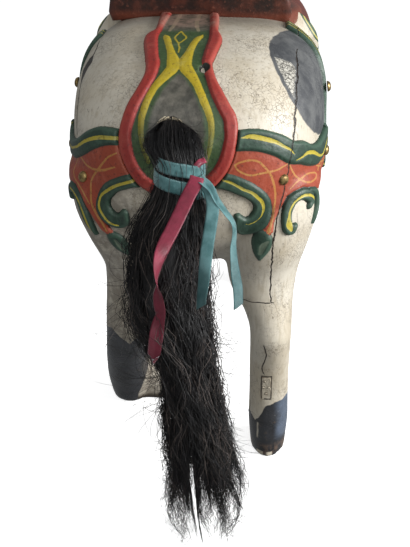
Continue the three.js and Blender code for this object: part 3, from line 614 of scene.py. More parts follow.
def aged(shade, at, colour, worn, dirt_and_shade, hollow):
    """A paint that has been handled: paler where it stands proud and rubs, dirty and darkened as painted shade in the
    hollows, and blotched.
    """
    blotch = shade.noise(at, 55, 4, 0.62)
    speck = shade.noise(at, 190, 4, 0.75)
    streak = shade.noise(shade.stretched(at, 1, 1, 0.35), 120, 3, 0.65)
    rubbed = (0 - hollow - 0.25 + (blotch - 0.5) * 2.2).step(0.0, 1.3)
    hollow_grime_and_shade = (hollow + (blotch - 0.5) * 1.2).step(0.25, 1.3)
    return coats(colour, (blotch.step(0.48, 0.75) * 0.5, worn), (streak.step(0.55, 0.72) * 0.35, worn),
                 (speck.step(0.54, 0.68) * 0.7, dirt_and_shade), (rubbed * 0.55, worn), (hollow_grime_and_shade * 0.75, dirt_and_shade))


shade, crupper_paint = material("crupper_paint")
at = shade.place()
hollow = shade.layer("hollow")
along = shade.layer("along")
unsteady = (shade.noise(at, 200, 3) - 0.5) * 2.0
blotch = shade.noise(at, 60, 4, 0.65)
RED = (0.27, 0.022, 0.016)
green = aged(shade, at, (0.035, 0.07, 0.02), (0.12, 0.17, 0.09), (0.012, 0.014, 0.008), hollow)
red = aged(shade, at, RED, (0.36, 0.065, 0.045), (0.07, 0.010, 0.008), hollow)
yellow = aged(shade, at, (0.40, 0.30, 0.012), (0.42, 0.36, 0.09), (0.13, 0.085, 0.01), hollow)
bare_wood = blotch.step(0.35, 0.7).between((0.05, 0.044, 0.038), (0.135, 0.12, 0.10))
worn_top = (along + unsteady * 6).step(252, 274)
worn_ground = (shade.layer("ground") + unsteady * 1.5).step(-3, 4)
faded = (shade.layer("upper") + unsteady).inside(0.8)
lower_fade = (along + unsteady * 5).step(60, 118)
shown = (shade.layer("bands") + unsteady * 0.7).inside(0.5) * (0.25 + lower_fade * 0.75)
diamond = (shade.layer("diamond") + unsteady * 0.4).inside(0.4)
border = (shade.layer("border") + unsteady * 0.6).inside(0.35)
rubbed = (along + unsteady * 8).step(262, 300) * blotch.step(0.3, 0.6)
chip = (shade.layer("chip") + unsteady * 0.5).step(-0.5, 0.8)
colour = coats(green, (worn_top * 0.75, bare_wood), (worn_ground * 0.9, bare_wood),
               (faded * 0.55, (0.34, 0.27, 0.17)), (shown, yellow), (diamond * 0.9, yellow), (border, red),
               (rubbed * 0.55, (0.36, 0.22, 0.17)), (chip, (0.012, 0.013, 0.008)))
bumps = shade.noise(at, 150, 3, 0.6)
shade.finish(colour, 0.36 + bumps * 0.3, bumps, 0.0008)
crupper.data.materials.append(crupper_paint)


# Breeching. The straps round the rump are carved out of the same boards and stand a little proud. A green border with
# a yellow line runs above an orange field, and green scrolls, a stem and a leaf hang below it.
FLANK_LACE = [
    [[186, 446, 1.1], [204, 440, 1.1], [222, 444, 1.1], [244, 452, 1.1]],
    [[186, 440, 1.1], [204, 446, 1.1], [222, 441, 1.1], [244, 438, 1.1]],
]
RIGHT = {
    "border": [[44, 500, 12], [67, 502, 12.5], [90, 501, 13.5], [114, 492, 14], [132, 480, 14.5], [150, 475, 15],
               [170, 466, 14], [192, 462, 15], [215, 466, 15], [245, 470, 15]],
    "lines": [
        [[69, 505, 0.6], [80, 506, 2.4], [90, 504, 2.7], [99, 501, 2.7], [109, 497, 2.2], [119, 490, 1.7],
         [128, 484, 1.2], [133, 478, 0.6]],
        [[136, 469, 0.5], [148, 471, 1.4], [158, 473, 2.4], [173, 469, 2.4], [192, 459, 1.6], [207, 457, 1.5],
         [225, 463, 2.0], [243, 470, 2.0]],
        [[45, 454, 0.8], [54, 452, 1.4], [63, 447, 1.6], [72, 441, 1.7], [80, 437, 1.8], [87, 430, 2.0], [93, 423, 2.0],
         [96, 414, 1.8], [96, 404, 0.9], [93, 398, 0.6], [88, 394, 0.6], [81, 392, 0.6], [77, 393, 0.5]],
        [[126, 380, 1.5], [124, 387, 3.4], [124, 396, 1.6], [126, 405, 1.0], [131, 413, 1.1], [138, 418, 1.3],
         [148, 420, 1.8], [158, 416, 1.5], [164, 408, 1.0], [166, 398, 0.7]],
    ],
    "field": [[38, 506], [60, 500], [90, 498], [118, 485], [140, 470], [180, 464], [250, 466], [250, 432], [205, 426],
              [181, 417], [164, 424], [148, 430], [134, 427], [126, 423], [122, 416], [116, 407], [111, 397],
              [108.5, 388], [108, 378], [100, 370], [92, 379], [98, 387], [104, 394], [107, 402], [107, 412],
              [100, 426], [86, 440], [62, 456], [38, 462]],
    "scrolls": [
        [[32, 453, 10.5], [52, 451, 11.3], [70, 443, 11.3], [82, 435, 10.4], [91, 426, 10.2], [96, 415, 11],
         [95, 403, 12], [89, 392, 13.2], [79, 387, 13.5], [71, 393, 9], [66, 403, 4.2]],
        [[132, 384, 4], [126, 379, 7], [122.5, 390, 6.2], [124, 404, 6], [131, 417, 7.2], [142, 422, 7.6],
         [152, 420, 8], [159, 411, 6.5], [155, 403, 3.6]],
        [[158, 424, 4], [171, 417, 5.2], [174, 402, 4], [169, 386, 2.6], [165, 376, 1.2]],
    ],
    "leaf": [[97, 376, 7.5], [97.5, 367, 10.3], [97.5, 357, 9.6], [97, 346, 5.8], [97.5, 337, 1.5]],
    "leaf_core": [[103, 366, 1.5], [99, 360, 3.2], [97, 349, 2]],
    "lace": [
        [[61, 473, 1.1], [68, 476, 1.2], [77, 478, 1.3], [87, 476, 1.3], [94, 469, 1.3], [100, 461, 1.3],
         [105, 450, 1.4], [109, 435, 1.4], [111, 420, 1.2], [109, 405, 1.1], [106, 390, 1.2], [103, 380, 1.6]],
        [[61, 473, 1.0], [65, 466, 1.1], [73, 461, 1.2], [80, 459, 1.2], [89, 460, 1.3], [100, 461, 1.3],
         [110, 462, 1.2], [119, 465, 1.1], [126, 467, 0.8]],
        [[127, 466, 0.8], [134, 453, 1.2], [141, 444, 1.2], [151, 436, 1.2], [162, 433, 1.2], [174, 434, 1.1],
         [178, 438, 1.0], [171, 441, 1.1], [159, 443, 1.1], [147, 441, 1.1], [138, 438, 1.0], [130, 432, 0.8]],
        [[97, 383, 0.9], [100, 375, 1.0], [105, 380, 0.9]],
        *FLANK_LACE,
    ],
}
LEFT = {
    "border": [[40, 499, 9], [62, 501, 9.5], [84, 501, 10], [97, 500, 11], [110, 497, 12.5], [126, 489, 13],
               [143, 478, 12.8], [170, 466, 12.5], [205, 462, 13], [245, 468, 14]],
    "lines": [
        [[60, 500, 1.8], [84, 499.5, 2.2], [95, 498.5, 2.3], [106, 497, 2.3], [118, 493, 2.2], [131, 487, 2.0],
         [144, 479, 1.8], [160, 471, 1.6], [190, 463, 1.5], [243, 466, 1.5]],
        [[48, 452, 1.2], [60, 449.5, 1.8], [70, 446, 1.9], [83, 440, 1.9], [96, 431, 1.8], [106, 422, 1.5],
         [110, 413, 1.3], [110, 404, 1.2], [106, 395, 1.2], [101, 387, 1.1], [96, 383, 1.1], [91, 382, 1.1]],
        [[124, 366, 0.6], [127, 378, 1.4], [131, 392, 1.4], [139, 406, 1.2], [150, 414, 1.2], [162, 416, 1.2]],
    ],
    "field": [[38, 506], [60, 500], [90, 498], [118, 488], [140, 474], [180, 460], [250, 462], [250, 432], [200, 424],
              [170, 420], [150, 424], [138, 413], [130, 402], [123, 393], [116, 381], [112, 371], [103, 362],
              [99, 371], [103, 381], [108, 391], [111, 402], [110, 414], [102, 430], [86, 442], [62, 454], [38, 460]],
    "scrolls": [
        [[32, 453, 9.5], [50, 450, 9.6], [64, 448, 9.5], [75, 444, 9.2], [87, 438, 8.8], [96, 430, 9], [104, 419, 8.6],
         [106, 406, 8.8], [101, 394, 9.6], [92, 387, 11], [83, 391, 9], [78, 401, 5]],
        [[121, 364, 2.5], [127, 379, 6.5], [134, 396, 7], [144, 411, 7], [157, 418, 8], [169, 412, 7], [166, 402, 4]],
    ],
    "leaf": [[103, 366, 5], [99, 359, 9], [97, 349, 9], [95, 339, 5.5], [93, 331, 1.5]],
    "leaf_core": [[99, 359, 1.2], [97, 350, 2.4], [95, 341, 1.4]],
    "lace": [
        [[147, 463, 1.1], [139, 459, 1.3], [131, 456, 1.4], [120, 454.5, 1.5], [109, 455, 1.6], [100, 457, 1.6],
         [93, 460, 1.4], [84, 464, 1.1]],
        [[82, 482, 1.0], [93, 475, 1.2], [102, 464, 1.4], [109, 455, 1.5], [114, 449, 1.4], [120, 441, 1.3],
         [123, 433, 1.2], [122, 419, 1.2], [120, 407, 1.3], [114, 395, 1.3], [108, 383, 1.2], [105, 372, 1.0]],
        [[151, 462, 0.9], [160, 452, 1.0], [163, 442, 1.0], [154, 433, 1.0], [140, 425, 1.1], [130, 415, 1.1],
         [123, 406, 1.0]],
        *FLANK_LACE,
    ],
}
PATCH_STEP = 1.2  # spacing of the points of a patch
STAND_OFF = 260  # radius from which a patch is cast onto the body
NOT_HERE = -9  # a depth far outside any outline


def carve_breeching(name, side, drawn):
    """One side's straps. Round the rump a place is (s, z): s along a circle of the wrap radius about the rump's middle
    and z up. Each band rises to its own height and the highest wins."""
    s, z = np.meshgrid(np.arange(30, 246, PATCH_STEP), np.arange(322, 528, PATCH_STEP), indexing="ij")
    turn = s / WRAP_RADIUS
    grid = np.stack([side * STAND_OFF * np.sin(turn), RUMP_CENTRE - STAND_OFF * np.cos(turn), z], -1)
    landed, facing = onto_body(in_frame(grid))
    border = stroke_depth(s, z, drawn["border"])
    line = strokes_depth(s, z, drawn["lines"], 40)
    field = patch_depth(s, z, drawn["field"])
    scroll = strokes_depth(s, z, drawn["scrolls"])
    leaf = stroke_depth(s, z, drawn["leaf"])
    core = stroke_depth(s, z, drawn["leaf_core"])
    lace = strokes_depth(s, z, drawn["lace"], 40)
    green = np.maximum(border, scroll)
    sunk, leaf_top = rounded(field, 3, 3.6), rounded(leaf, 7, 5.0)
    height = np.max([rounded(border, 5, 6.5), rounded(scroll, 4.5, 6.0), sunk, leaf_top], axis=0)
    height -= 0.9 * np.exp(-((np.minimum(line - 1.2, 0) / 1.6) ** 2)) * (green > 2)
    height -= 1.2 * np.clip(core / 2 + 0.5, 0, 1)
    x, y, up = np.moveaxis((landed - [0, REAR, 0]) * 1000, -1, 0)
    croup = WRAP_RADIUS * np.arctan2(up - CROUP_CENTRE, RUMP_CENTRE - y)
    in_crupper = np.maximum(strokes_depth(x, croup, CRUPPER_BORDER), patch_depth(x, croup, CRUPPER_FIELD))
    height = np.minimum(height, rounded(-0.5 - in_crupper, 2.5, 7))
    green = np.max([green, np.where(leaf_top > sunk, leaf, NOT_HERE), np.where(field < 0, 3, NOT_HERE)], axis=0)
    return carved_patch(name, landed, facing, height, in_frame([0, RUMP_CENTRE, CROUP_CENTRE]), green=green, line=line,
                        lace=lace, core=core)


breechings = [carve_breeching("breeching_right", 1, RIGHT), carve_breeching("breeching_left", -1, LEFT)]

YELLOW = (0.42, 0.34, 0.03)
# the third colour of each paint is its dirt, which in the hollows also stands as painted shade
HARNESS_PAINTS = {  # fresh, worn and dirty
    "orange": [(0.29, 0.048, 0.020), (0.44, 0.12, 0.07), (0.09, 0.018, 0.011)],
    "ochre": [(0.42, 0.19, 0.045), (0.55, 0.34, 0.14), (0.12, 0.05, 0.02)],
    "green": [(0.018, 0.044, 0.028), (0.055, 0.105, 0.072), (0.008, 0.014, 0.010)],
    "yellow": [YELLOW, (0.45, 0.42, 0.16), (0.10, 0.075, 0.02)],
}

shade, harness_paint = material("harness_paint")
at = shade.place()
hollow = shade.layer("hollow")
unsteady = (shade.noise(at, 230, 2) - 0.5) * 1.1
orange, ochre, green, yellow = (aged(shade, at, *paint, hollow) for paint in HARNESS_PAINTS.values())
laced, greened, cored, lined = (shade.layer(name) + unsteady for name in ("lace", "green", "core", "line"))
x, y, z = shade.axes(at)
to_edge = x - right_joint(z) + (shade.noise(at, 60, 3) - 0.5) * 0.006
opened = (1 - abs(to_edge).step(0.0003, 0.0011)) * z.step(0.33, 0.34)
colour = coats(orange, (laced.inside(0.25) * 0.85, ochre), (greened.inside(0.3), green),
               (cored.inside(0.8) * 0.6, (0.16, 0.20, 0.14)), (lined.inside(0.3) * greened.step(0.0, 0.8), yellow),
               (opened, OPEN_WOOD))
bumps = shade.noise(at, 160, 3, 0.6)
shade.finish(colour, 0.38 + bumps * 0.25, bumps - opened * 2.0, 0.0007)
for made in breechings:
    made.data.materials.append(harness_paint)


# Hip straps. One on each side goes from the saddle's back corner down over the hip to the end of the breeching. They
# are carved with the body and painted green with two yellow lines. Round the body a place is (y, arc): y along it, and
# arc over a circle from the top of the back down the side.
BARREL_RADIUS = 155
HIP_STRAP = [[284, 100, 12.5], [270, 105, 13], [250, 114, 13], [232, 128, 13], [222, 145, 13], [215, 162, 12.5],
             [212, 180, 12], [211, 200, 12], [208, 218, 11.5], [200, 236, 11]]


def round_barrel(y, arc, stand_off):
    """The place (y, arc) at a distance from the body's middle line."""
    turn = arc / BARREL_RADIUS
    return np.stack([stand_off * np.sin(turn), y, BARREL_LINE + stand_off * np.cos(turn)], -1)


def hip_strap(name, side):
    """One side's strap. It stops at the cantle's end, and its two lines run 5 mm to each side of its middle."""
    y, arc = np.meshgrid(np.arange(150, 330, 1.6), np.arange(74, 250, 1.6), indexing="ij")
    landed, facing = onto_body(in_frame(round_barrel(y, side * arc, 250)))
    depth = np.minimum(stroke_depth(y, arc, HIP_STRAP), (side * landed[..., 0] * 1000 - 127 + 7 * side) * 1.5)
    rows = between(HIP_STRAP, 24)
    middle_gap = np.hypot(y[..., None] - rows[:, 0], arc[..., None] - rows[:, 1]).min(-1)
    lines = 1.5 - np.abs(middle_gap - 5)
    height = rounded(depth, 4, 5.5) - 0.6 * np.clip(lines, 0, 1)
    made = carved_patch(name, landed, facing, height, in_frame([0, 250, BARREL_LINE]),
                        green=3 + 0 * depth, line=np.minimum(lines, depth), lace=NOT_HERE + 0 * depth,
                        core=NOT_HERE + 0 * depth)
    made.data.materials.append(harness_paint)


hip_strap("hip_strap_right", 1)
hip_strap("hip_strap_left", -1)


# Trace. The breeching goes on forward along each flank and meets round the chest. It is carved like the rest: an orange
# strap between two green borders with yellow lines.
TRACE = [[244, 456, 30], [262, 452, 26], [330, 450, 22], [470, 454, 20], [640, 468, 21], [760, 482, 23], [870, 486, 26],
         [1000, 484, 30]]
CHEST_CENTRE = 600
QUARTER_TURN = WRAP_RADIUS * np.pi / 2
FLANK = CHEST_CENTRE - RUMP_CENTRE


def round_body(s, z, stand_off):
    """Round the horse at a level: a quarter turn round the rump, straight along the flank and round the chest."""
    rump = s / WRAP_RADIUS
    chest = (s - QUARTER_TURN - FLANK) / WRAP_RADIUS
    x = np.where(rump < np.pi / 2, stand_off * np.sin(rump), stand_off * np.cos(np.maximum(chest, 0)))
    behind = RUMP_CENTRE - stand_off * np.cos(rump)
    along = RUMP_CENTRE + np.clip(s - QUARTER_TURN, 0, FLANK) + stand_off * np.sin(np.maximum(chest, 0))
    return np.stack([x, np.where(rump < np.pi / 2, behind, along), z], -1)


def trace(name, side):
    """One side's strap, from the breeching to the middle of the chest."""
    s, across = np.meshgrid(np.arange(238, 972, 3.0), np.arange(-36, 36.1, 1.8), indexing="ij")
    rows = between(TRACE, 24)
    centre = np.interp(s, rows[:, 0], rows[:, 1])
    half = np.interp(s, rows[:, 0], rows[:, 2])
    landed, facing = onto_body(in_frame(round_body(s, centre + across, STAND_OFF) * [side, 1, 1]))
    depth = half - np.abs(across)
    edge = 0.30 * half
    border = np.minimum(depth, edge - depth + 3)
    wave = 3.2 * np.sin(s / 15)
    lines = 1.4 - np.abs(depth - 0.5 * edge - 1)
    lace = 1.2 - np.minimum(np.abs(across - wave), np.abs(across + wave))
    height = np.maximum(rounded(depth, 3, 3.6), rounded(border, 3.5, 5.8))
    made = carved_patch(name, landed, facing, height, in_frame([0, 400, BARREL_LINE]),
                        green=np.where(depth < edge, np.maximum(border, 1), border), line=np.minimum(lines, border),
                        lace=np.where(depth > edge + 2, lace, NOT_HERE), core=NOT_HERE + 0 * depth)
    made.data.materials.append(harness_paint)


trace("trace_right", 1)
trace("trace_left", -1)


# Saddle. Cloth, flaps, seat and girth are carved in one with the body. The cloth has a green edge with yellow lines,
# and the flaps and seat are painted a leather brown.
CLOTH = [[352, 700], [350, 560], [330, 470], [342, 440], [452, 424], [575, 440], [600, 470], [606, 700]]
SHOULDER = [[318, 700], [326, 560], [372, 500], [430, 462], [482, 462], [530, 510], [560, 590], [570, 700]]
FLAP = [[373, 700], [371, 560], [384, 500], [430, 462], [482, 462], [530, 510], [560, 590], [570, 700]]
GIRTH_MIDDLE = 452
GIRTH_HALF = 21
BACK_HALF = 120  # how far from the top of the back the saddle's outlines stay straight


def saddle_depth(outline, rear, front):
    """How far inside an outline of the saddle: it is drawn on the side, and straight across the back."""
    return np.where(np.abs(arc) < BACK_HALF, np.minimum(y - rear, front - y), patch_depth(y, z, outline))


y, arc = np.meshgrid(np.arange(296, 616, 2.2), np.arange(-488, 489, 2.2), indexing="ij")
landed, facing = onto_body(in_frame(round_barrel(y, arc, STAND_OFF)))
z = np.where(np.abs(arc) < BACK_HALF, 700, landed[..., 2] * 1000)
cloth = saddle_depth(CLOTH, 352, 603)
flap = saddle_depth(FLAP, 372, 567)
shoulder = saddle_depth(SHOULDER, 318, 567)
girth = GIRTH_HALF - np.abs(y - GIRTH_MIDDLE)
rise = np.clip((z - 490) / 85, 0, 1)
side = np.clip((np.abs(arc) - 78) / 34, 0, 1)
fuller = 12 + 7 * rise**2 * (3 - 2 * rise) * side**2 * (3 - 2 * side)
height = np.max([rounded(cloth, 4, 6), fuller / 12 * rounded(shoulder, 9, 12), rounded(flap, 4, 13.5),
                 rounded(girth, 2.5, 4.5)], axis=0)
height -= 0.8 * np.exp(-(((flap - 9) / 1.2) ** 2)) * (flap > 0)
saddle_skin = carved_patch("saddle_skin", landed, facing, height, in_frame([0, GIRTH_MIDDLE, BARREL_LINE]),
                           cloth=cloth, flap=flap, girth=girth)

shade, saddle_paint = material("saddle_paint")
at = shade.place()
hollow = shade.layer("hollow")
unsteady = (shade.noise(at, 200, 2) - 0.5) * 1.2
brown = aged(shade, at, (0.105, 0.022, 0.014), (0.26, 0.085, 0.05), (0.025, 0.008, 0.006), hollow)
rust = aged(shade, at, (0.16, 0.06, 0.03), (0.3, 0.14, 0.08), (0.03, 0.012, 0.008), hollow)
orange = aged(shade, at, HARNESS_PAINTS["orange"][0], (0.52, 0.16, 0.10), (0.10, 0.02, 0.012), hollow)
green, yellow = (aged(shade, at, *HARNESS_PAINTS[name], hollow) for name in ("green", "yellow"))
cloth = shade.layer("cloth") + unsteady
striped = (1 - abs(cloth - 6.5).step(1.2, 1.8)).most(1 - abs(cloth - 15).step(1.2, 1.8))
on_flap = (shade.layer("flap") + unsteady * 0.4).inside(0.4)
bare_below = (0 - cloth).step(0.2, 0.8) * (0 - shade.layer("flap")).step(0.0, 0.5)
bare_side = bare_below * (0 - shade.layer("girth")).step(0.0, 0.5)
colour = coats(green, (cloth.step(21.7, 22.3), orange), (striped, yellow), (on_flap, brown), (bare_below, rust))
cream = cream_paint(shade)[1]
across, _, up = shade.axes(at)
past = abs(across) - 0.127 - (0.618 - up) * 0.647 + unsteady * 0.0005
edge_green = (abs(past - 0.0035).least(abs(past - 0.0085))).step(0.0012, 0.0007).between(green, yellow)
high = up.step(0.54, 0.55)
cream = coats(cream, (past.step(0.0, 0.0005) * high, edge_green), (past.step(0.0125, 0.013) * high, brown))
colour = bare_side.between(colour, cream)
bumps = shade.noise(at, 140, 3, 0.6)
shade.finish(colour, 0.36 + bumps * 0.3, bumps, 0.0006)
saddle_skin.data.materials.append(saddle_paint)

SEAT = [
    [2, 292, 590, 90, 120, 34, 30, 2.8, 2], [6, 330, 592, 90, 132, 25, 34, 3.2, 2],
    [8, 390, 592, 90, 134, 17, 36, 3.2, 2], [4, 450, 594, 90, 118, 18, 34, 2.8, 2],
    [0, 520, 600, 90, 96, 32, 34, 2.4, 2], [0, 562, 606, 90, 68, 44, 40, 2.2, 2],
    [0, 590, 606, 90, 34, 30, 36, 2, 2],
]
points, faces = form(SEAT, 6, 64)
seat = piece("saddle_seat", in_frame(points), faces)

# The cantle is a rolled board that stands up behind the seat, crowned on both faces, with a worn red rim.
CANTLE_HALF = 132.5
CANTLE_BOTTOM = 598
CANTLE_RISE = 78
CANTLE_THICK = 22
CANTLE_BACK = 284
CANTLE_LEAN = np.radians(14)
CROWN = 0.4  # nearer 0 makes the board's edge squarer


def rolled_board(outline, thick, rings=15):
    """A board crowned on both faces: ring v is the outline drawn towards its middle by |cos v|^crown, at a depth of
    half the thickness times |sin v|^crown, with v from one face's middle to the other's."""
    v = np.linspace(-np.pi / 2, np.pi / 2, rings + 2)[1:-1, None]
    drawn = np.abs(np.cos(v)) ** CROWN
    depth = thick / 2 * np.sign(np.sin(v)) * np.abs(np.sin(v)) ** CROWN
    middle = outline.mean(0)
    flat = middle + (outline - middle) * drawn[..., None]
    rings = np.stack([flat[..., 0], np.broadcast_to(depth, flat.shape[:2]), flat[..., 1]], -1)
    return capped(rings, [middle[0], -thick / 2, middle[1]], [middle[0], thick / 2, middle[1]])


across = np.linspace(-1, 1, 61)
crest = CANTLE_RISE * (1 - 0.32 * np.abs(across) ** 2.2) * (1 - np.abs(across) ** 9) ** 0.5 + 8 * np.abs(across) ** 9
foot = -6 + 9 * (1 - across**2)
top = np.column_stack([CANTLE_HALF * across, crest])
bottom = np.column_stack([CANTLE_HALF * across, foot])[::-1]
outline = np.concatenate([top, bottom[1:-1]])
points, faces = rolled_board(outline, CANTLE_THICK)
lean_y = points[:, 1] * np.cos(CANTLE_LEAN) - points[:, 2] * np.sin(CANTLE_LEAN)
lean_z = points[:, 1] * np.sin(CANTLE_LEAN) + points[:, 2] * np.cos(CANTLE_LEAN)
points = np.column_stack([points[:, 0] - 4, CANTLE_BACK + CANTLE_THICK / 2 + lean_y, CANTLE_BOTTOM + lean_z])
cantle = piece("saddle_cantle", in_frame(points), faces)

shade, leather_paint = material("leather_paint")
at = shade.place()
blotch = shade.noise(at, 34, 5, 0.66)
fine = shade.noise(at, 170, 3, 0.6)
up = shade.axes(at)[2]
colour = blotch.step(0.40, 0.66).between((0.020, 0.009, 0.007), (0.080, 0.022, 0.013))
rim = (up + (blotch - 0.5) * 0.012).step(CANTLE_BOTTOM / 1000 + 0.014, CANTLE_BOTTOM / 1000 + 0.002)
colour = (rim * 0.8).between(colour, (0.17, 0.04, 0.02))
colour = (fine.step(0.55, 0.75) * 0.35).between(colour, (0.30, 0.10, 0.06))
shade.finish(colour, 0.34 + fine * 0.3, fine + blotch, 0.0008)
for made in (seat, cantle):
    made.data.materials.append(leather_paint)
    settle(made, "painted_wood")


# Mane. It is carved in deep locks that fall from the crest down the right side of the neck, with a forelock between
# the ears, and painted black.
CREST = [
    [0, 612, 640, 148, 14, 20, 40, 2, 2], [0, 660, 710, 148, 15, 20, 40, 2, 2],
    [0, 712, 790, 148, 15, 18, 40, 2, 2], [0, 762, 850, 140, 15, 16, 36, 2, 2],
    [0, 800, 880, 110, 13, 12, 26, 2, 2],
]
FORELOCK = [
    [2, 806, 884, 80, 12, 8, 12, 2, 2], [4, 838, 888, 62, 13, 9, 12, 2, 2], [8, 868, 872, 52, 10, 8, 10, 2, 2],
    [10, 892, 848, 48, 4, 4, 8, 2, 2],
]
LOCKS = 8
LOCK_LENGTH = 118


def carved_lock(stations, cuts, per=8, sides=48, twist=1.2):
    """A form whose sections are fluted: each point is drawn in towards the middle line by 13% between the cuts' edges,
    and the cuts wind round it by the twist along its length."""
    points, faces = form(stations, per, sides)
    rings = points[:-2].reshape(-1, sides, 3)
    middle = rings.mean(1, keepdims=True)
    turn = np.linspace(0, 2 * np.pi, sides, endpoint=False)
    wind = np.linspace(0, twist, len(rings))[:, None]
    draw = 1 - 0.13 * np.abs(np.sin(cuts / 2 * (turn + wind))) ** 0.6
    points[:-2] = (middle + (rings - middle) * draw[..., None] * 1.05).reshape(-1, 3)
    return points, faces


roots = between(CREST, LOCKS)
locks = [carved_lock(CREST, 8, 12), carved_lock(FORELOCK, 6, 8)]
for i in range(LOCKS):
    _, y, z = roots[round((i + 0.6) / LOCKS * (len(roots) - 1)), :3]
    wave = 1 if i % 2 else -1
    spread = 1.15 - 0.35 * i / (LOCKS - 1)
    hang = LOCK_LENGTH * spread
    locks.append(carved_lock([
        [6, y + 4, z + 4, 0, 12, 15, 15, 2, 2],
        [34 * spread, y + 8, z - 0.22 * hang, 0, 17, 20, 17, 2, 2],
        [56 * spread, y + 6 + 5 * wave, z - 0.5 * hang, 0, 15, 19, 16, 2, 2],
        [72 * spread, y - 4 * wave, z - 0.78 * hang, 0, 12, 14, 13, 2, 2],
        [86 * spread, y - 16 - 8 * wave, z - hang, 0, 4, 4, 4, 2, 2],
    ], 9, twist=0.5 * wave))
points, faces = gathered(locks)
mane = piece("carved_mane", in_frame(points), faces)
settle(mane, "painted_wood")

shade, black_paint = material("black_paint")
at = shade.place()
streak = shade.noise(shade.stretched(at, 1, 1, 0.3), 130, 3, 0.6)
blotch = shade.noise(at, 40, 4, 0.6)
colour = blotch.step(0.35, 0.7).between((0.012, 0.012, 0.013), (0.045, 0.043, 0.042))
colour = (streak.step(0.62, 0.8) * 0.4).between(colour, (0.16, 0.14, 0.12))
shade.finish(colour, 0.38 + blotch * 0.3, streak, 0.0008)
mane.data.materials.append(black_paint)


# Bridle. A noseband and a headpiece are carved round the head as flat straps that stand a little proud, and painted
# red with a yellow middle line.
def head_strap(name, y, z, tilt, half, reach):
    """A closed flat ring round the head: rays in a tilted plane are cast on it, and its section is a rounded bar."""
    lean = np.radians(tilt)
    turn = np.linspace(0, 2 * np.pi, 97)
    across = np.linspace(-half, half, 9)
    out = np.stack([np.cos(turn), -np.sin(turn) * np.sin(lean), np.sin(turn) * np.cos(lean)], -1)
    side = np.array([0, np.cos(lean), np.sin(lean)])
    grid = np.array([0, y, z]) + reach * out[:, None] + across[:, None] * side
    landed, facing = onto_body(in_frame(grid))
    landed, facing = landed[:-1], facing[:-1]
    rise = 3.4 * (1 - (across / half) ** 6)[:, None]
    upper = landed + facing * rise / 1000
    lower = landed - facing * 0.004
    rings = np.concatenate([upper, lower[:, ::-1]], axis=1)
    rows, columns = rings.shape[:2]
    index = np.arange(rows * columns).reshape(rows, columns)
    ahead, beside = np.roll(index, -1, axis=0), np.roll(index, -1, axis=1)
    quads = np.stack([index, ahead, np.roll(ahead, -1, axis=1), beside], -1).reshape(-1, 4)
    made = piece(name, rings.reshape(-1, 3), quads.tolist())
    keep(made, across=np.broadcast_to(np.concatenate([across, across[::-1]]), (rows, columns)).reshape(-1))
    settle(made, "painted_wood")
    return made


noseband = head_strap("bridle_noseband", 956, 758, -46, 9, 90)
headpiece = head_strap("bridle_headpiece", 826, 842, -24, 9, 110)
shade, bridle_paint = material("bridle_paint")
at = shade.place()
blotch = shade.noise(at, 60, 4, 0.65)
colour = blotch.step(0.4, 0.75).between(RED, (0.42, 0.12, 0.08))
colour = (1 - abs(shade.layer("across") + (blotch - 0.5) * 1.5).step(1.6, 2.3)).between(colour, YELLOW)
shade.finish(colour, 0.42 + blotch * 0.25, blotch, 0.0006)
for made in (noseband, headpiece):
    made.data.materials.append(bridle_paint)


# Eyes. They are carved balls with a heavy upper lid, painted dark brown with a black pupil.
EYE_MIDDLE = (44, 886, 842)
turn = np.linspace(0, 2 * np.pi, 40, endpoint=False)
rise = np.linspace(-np.pi / 2, np.pi / 2, 24)[1:-1, None]
ball = [9.36 * np.sin(rise) + 0 * turn, 15 * np.cos(rise) * np.cos(turn), 13 * np.cos(rise) * np.sin(turn)]
ball_points, ball_faces = capped(np.stack(ball, -1), [-9.4, 0, 0], [9.4, 0, 0])
droop = np.radians(-34)
turned = ball_points.copy()
turned[:, 1] = ball_points[:, 1] * np.cos(droop) - ball_points[:, 2] * np.sin(droop)
turned[:, 2] = ball_points[:, 1] * np.sin(droop) + ball_points[:, 2] * np.cos(droop)
balls = [((turned + EYE_MIDDLE) * [side, 1, 1], ball_faces) for side in (1, -1)]
points, faces = gathered(balls)
eyes = piece("carved_eyes", in_frame(points), faces)
settle(eyes, "painted_wood")
shade, eye_paint = material("eye_paint")
at = shade.place()
folded = shade.node("VectorMath", {"operation": "ABSOLUTE"}, {0: at})
front = (EYE_MIDDLE[0] / 1000 + 0.009, REAR + EYE_MIDDLE[1] / 1000 + 0.001, EYE_MIDDLE[2] / 1000)
gap = shade.gap(folded, front)
iris = gap.step(0.0095, 0.0085).between((0.30, 0.25, 0.18), (0.045, 0.015, 0.006))
colour = gap.step(0.0048, 0.0040).between(iris, (0.004, 0.004, 0.004))
shade.finish(colour, 0.15 + shade.noise(at, 90) * 0.1, shade.noise(at, 200), 0.0001)
eyes.data.materials.append(eye_paint)


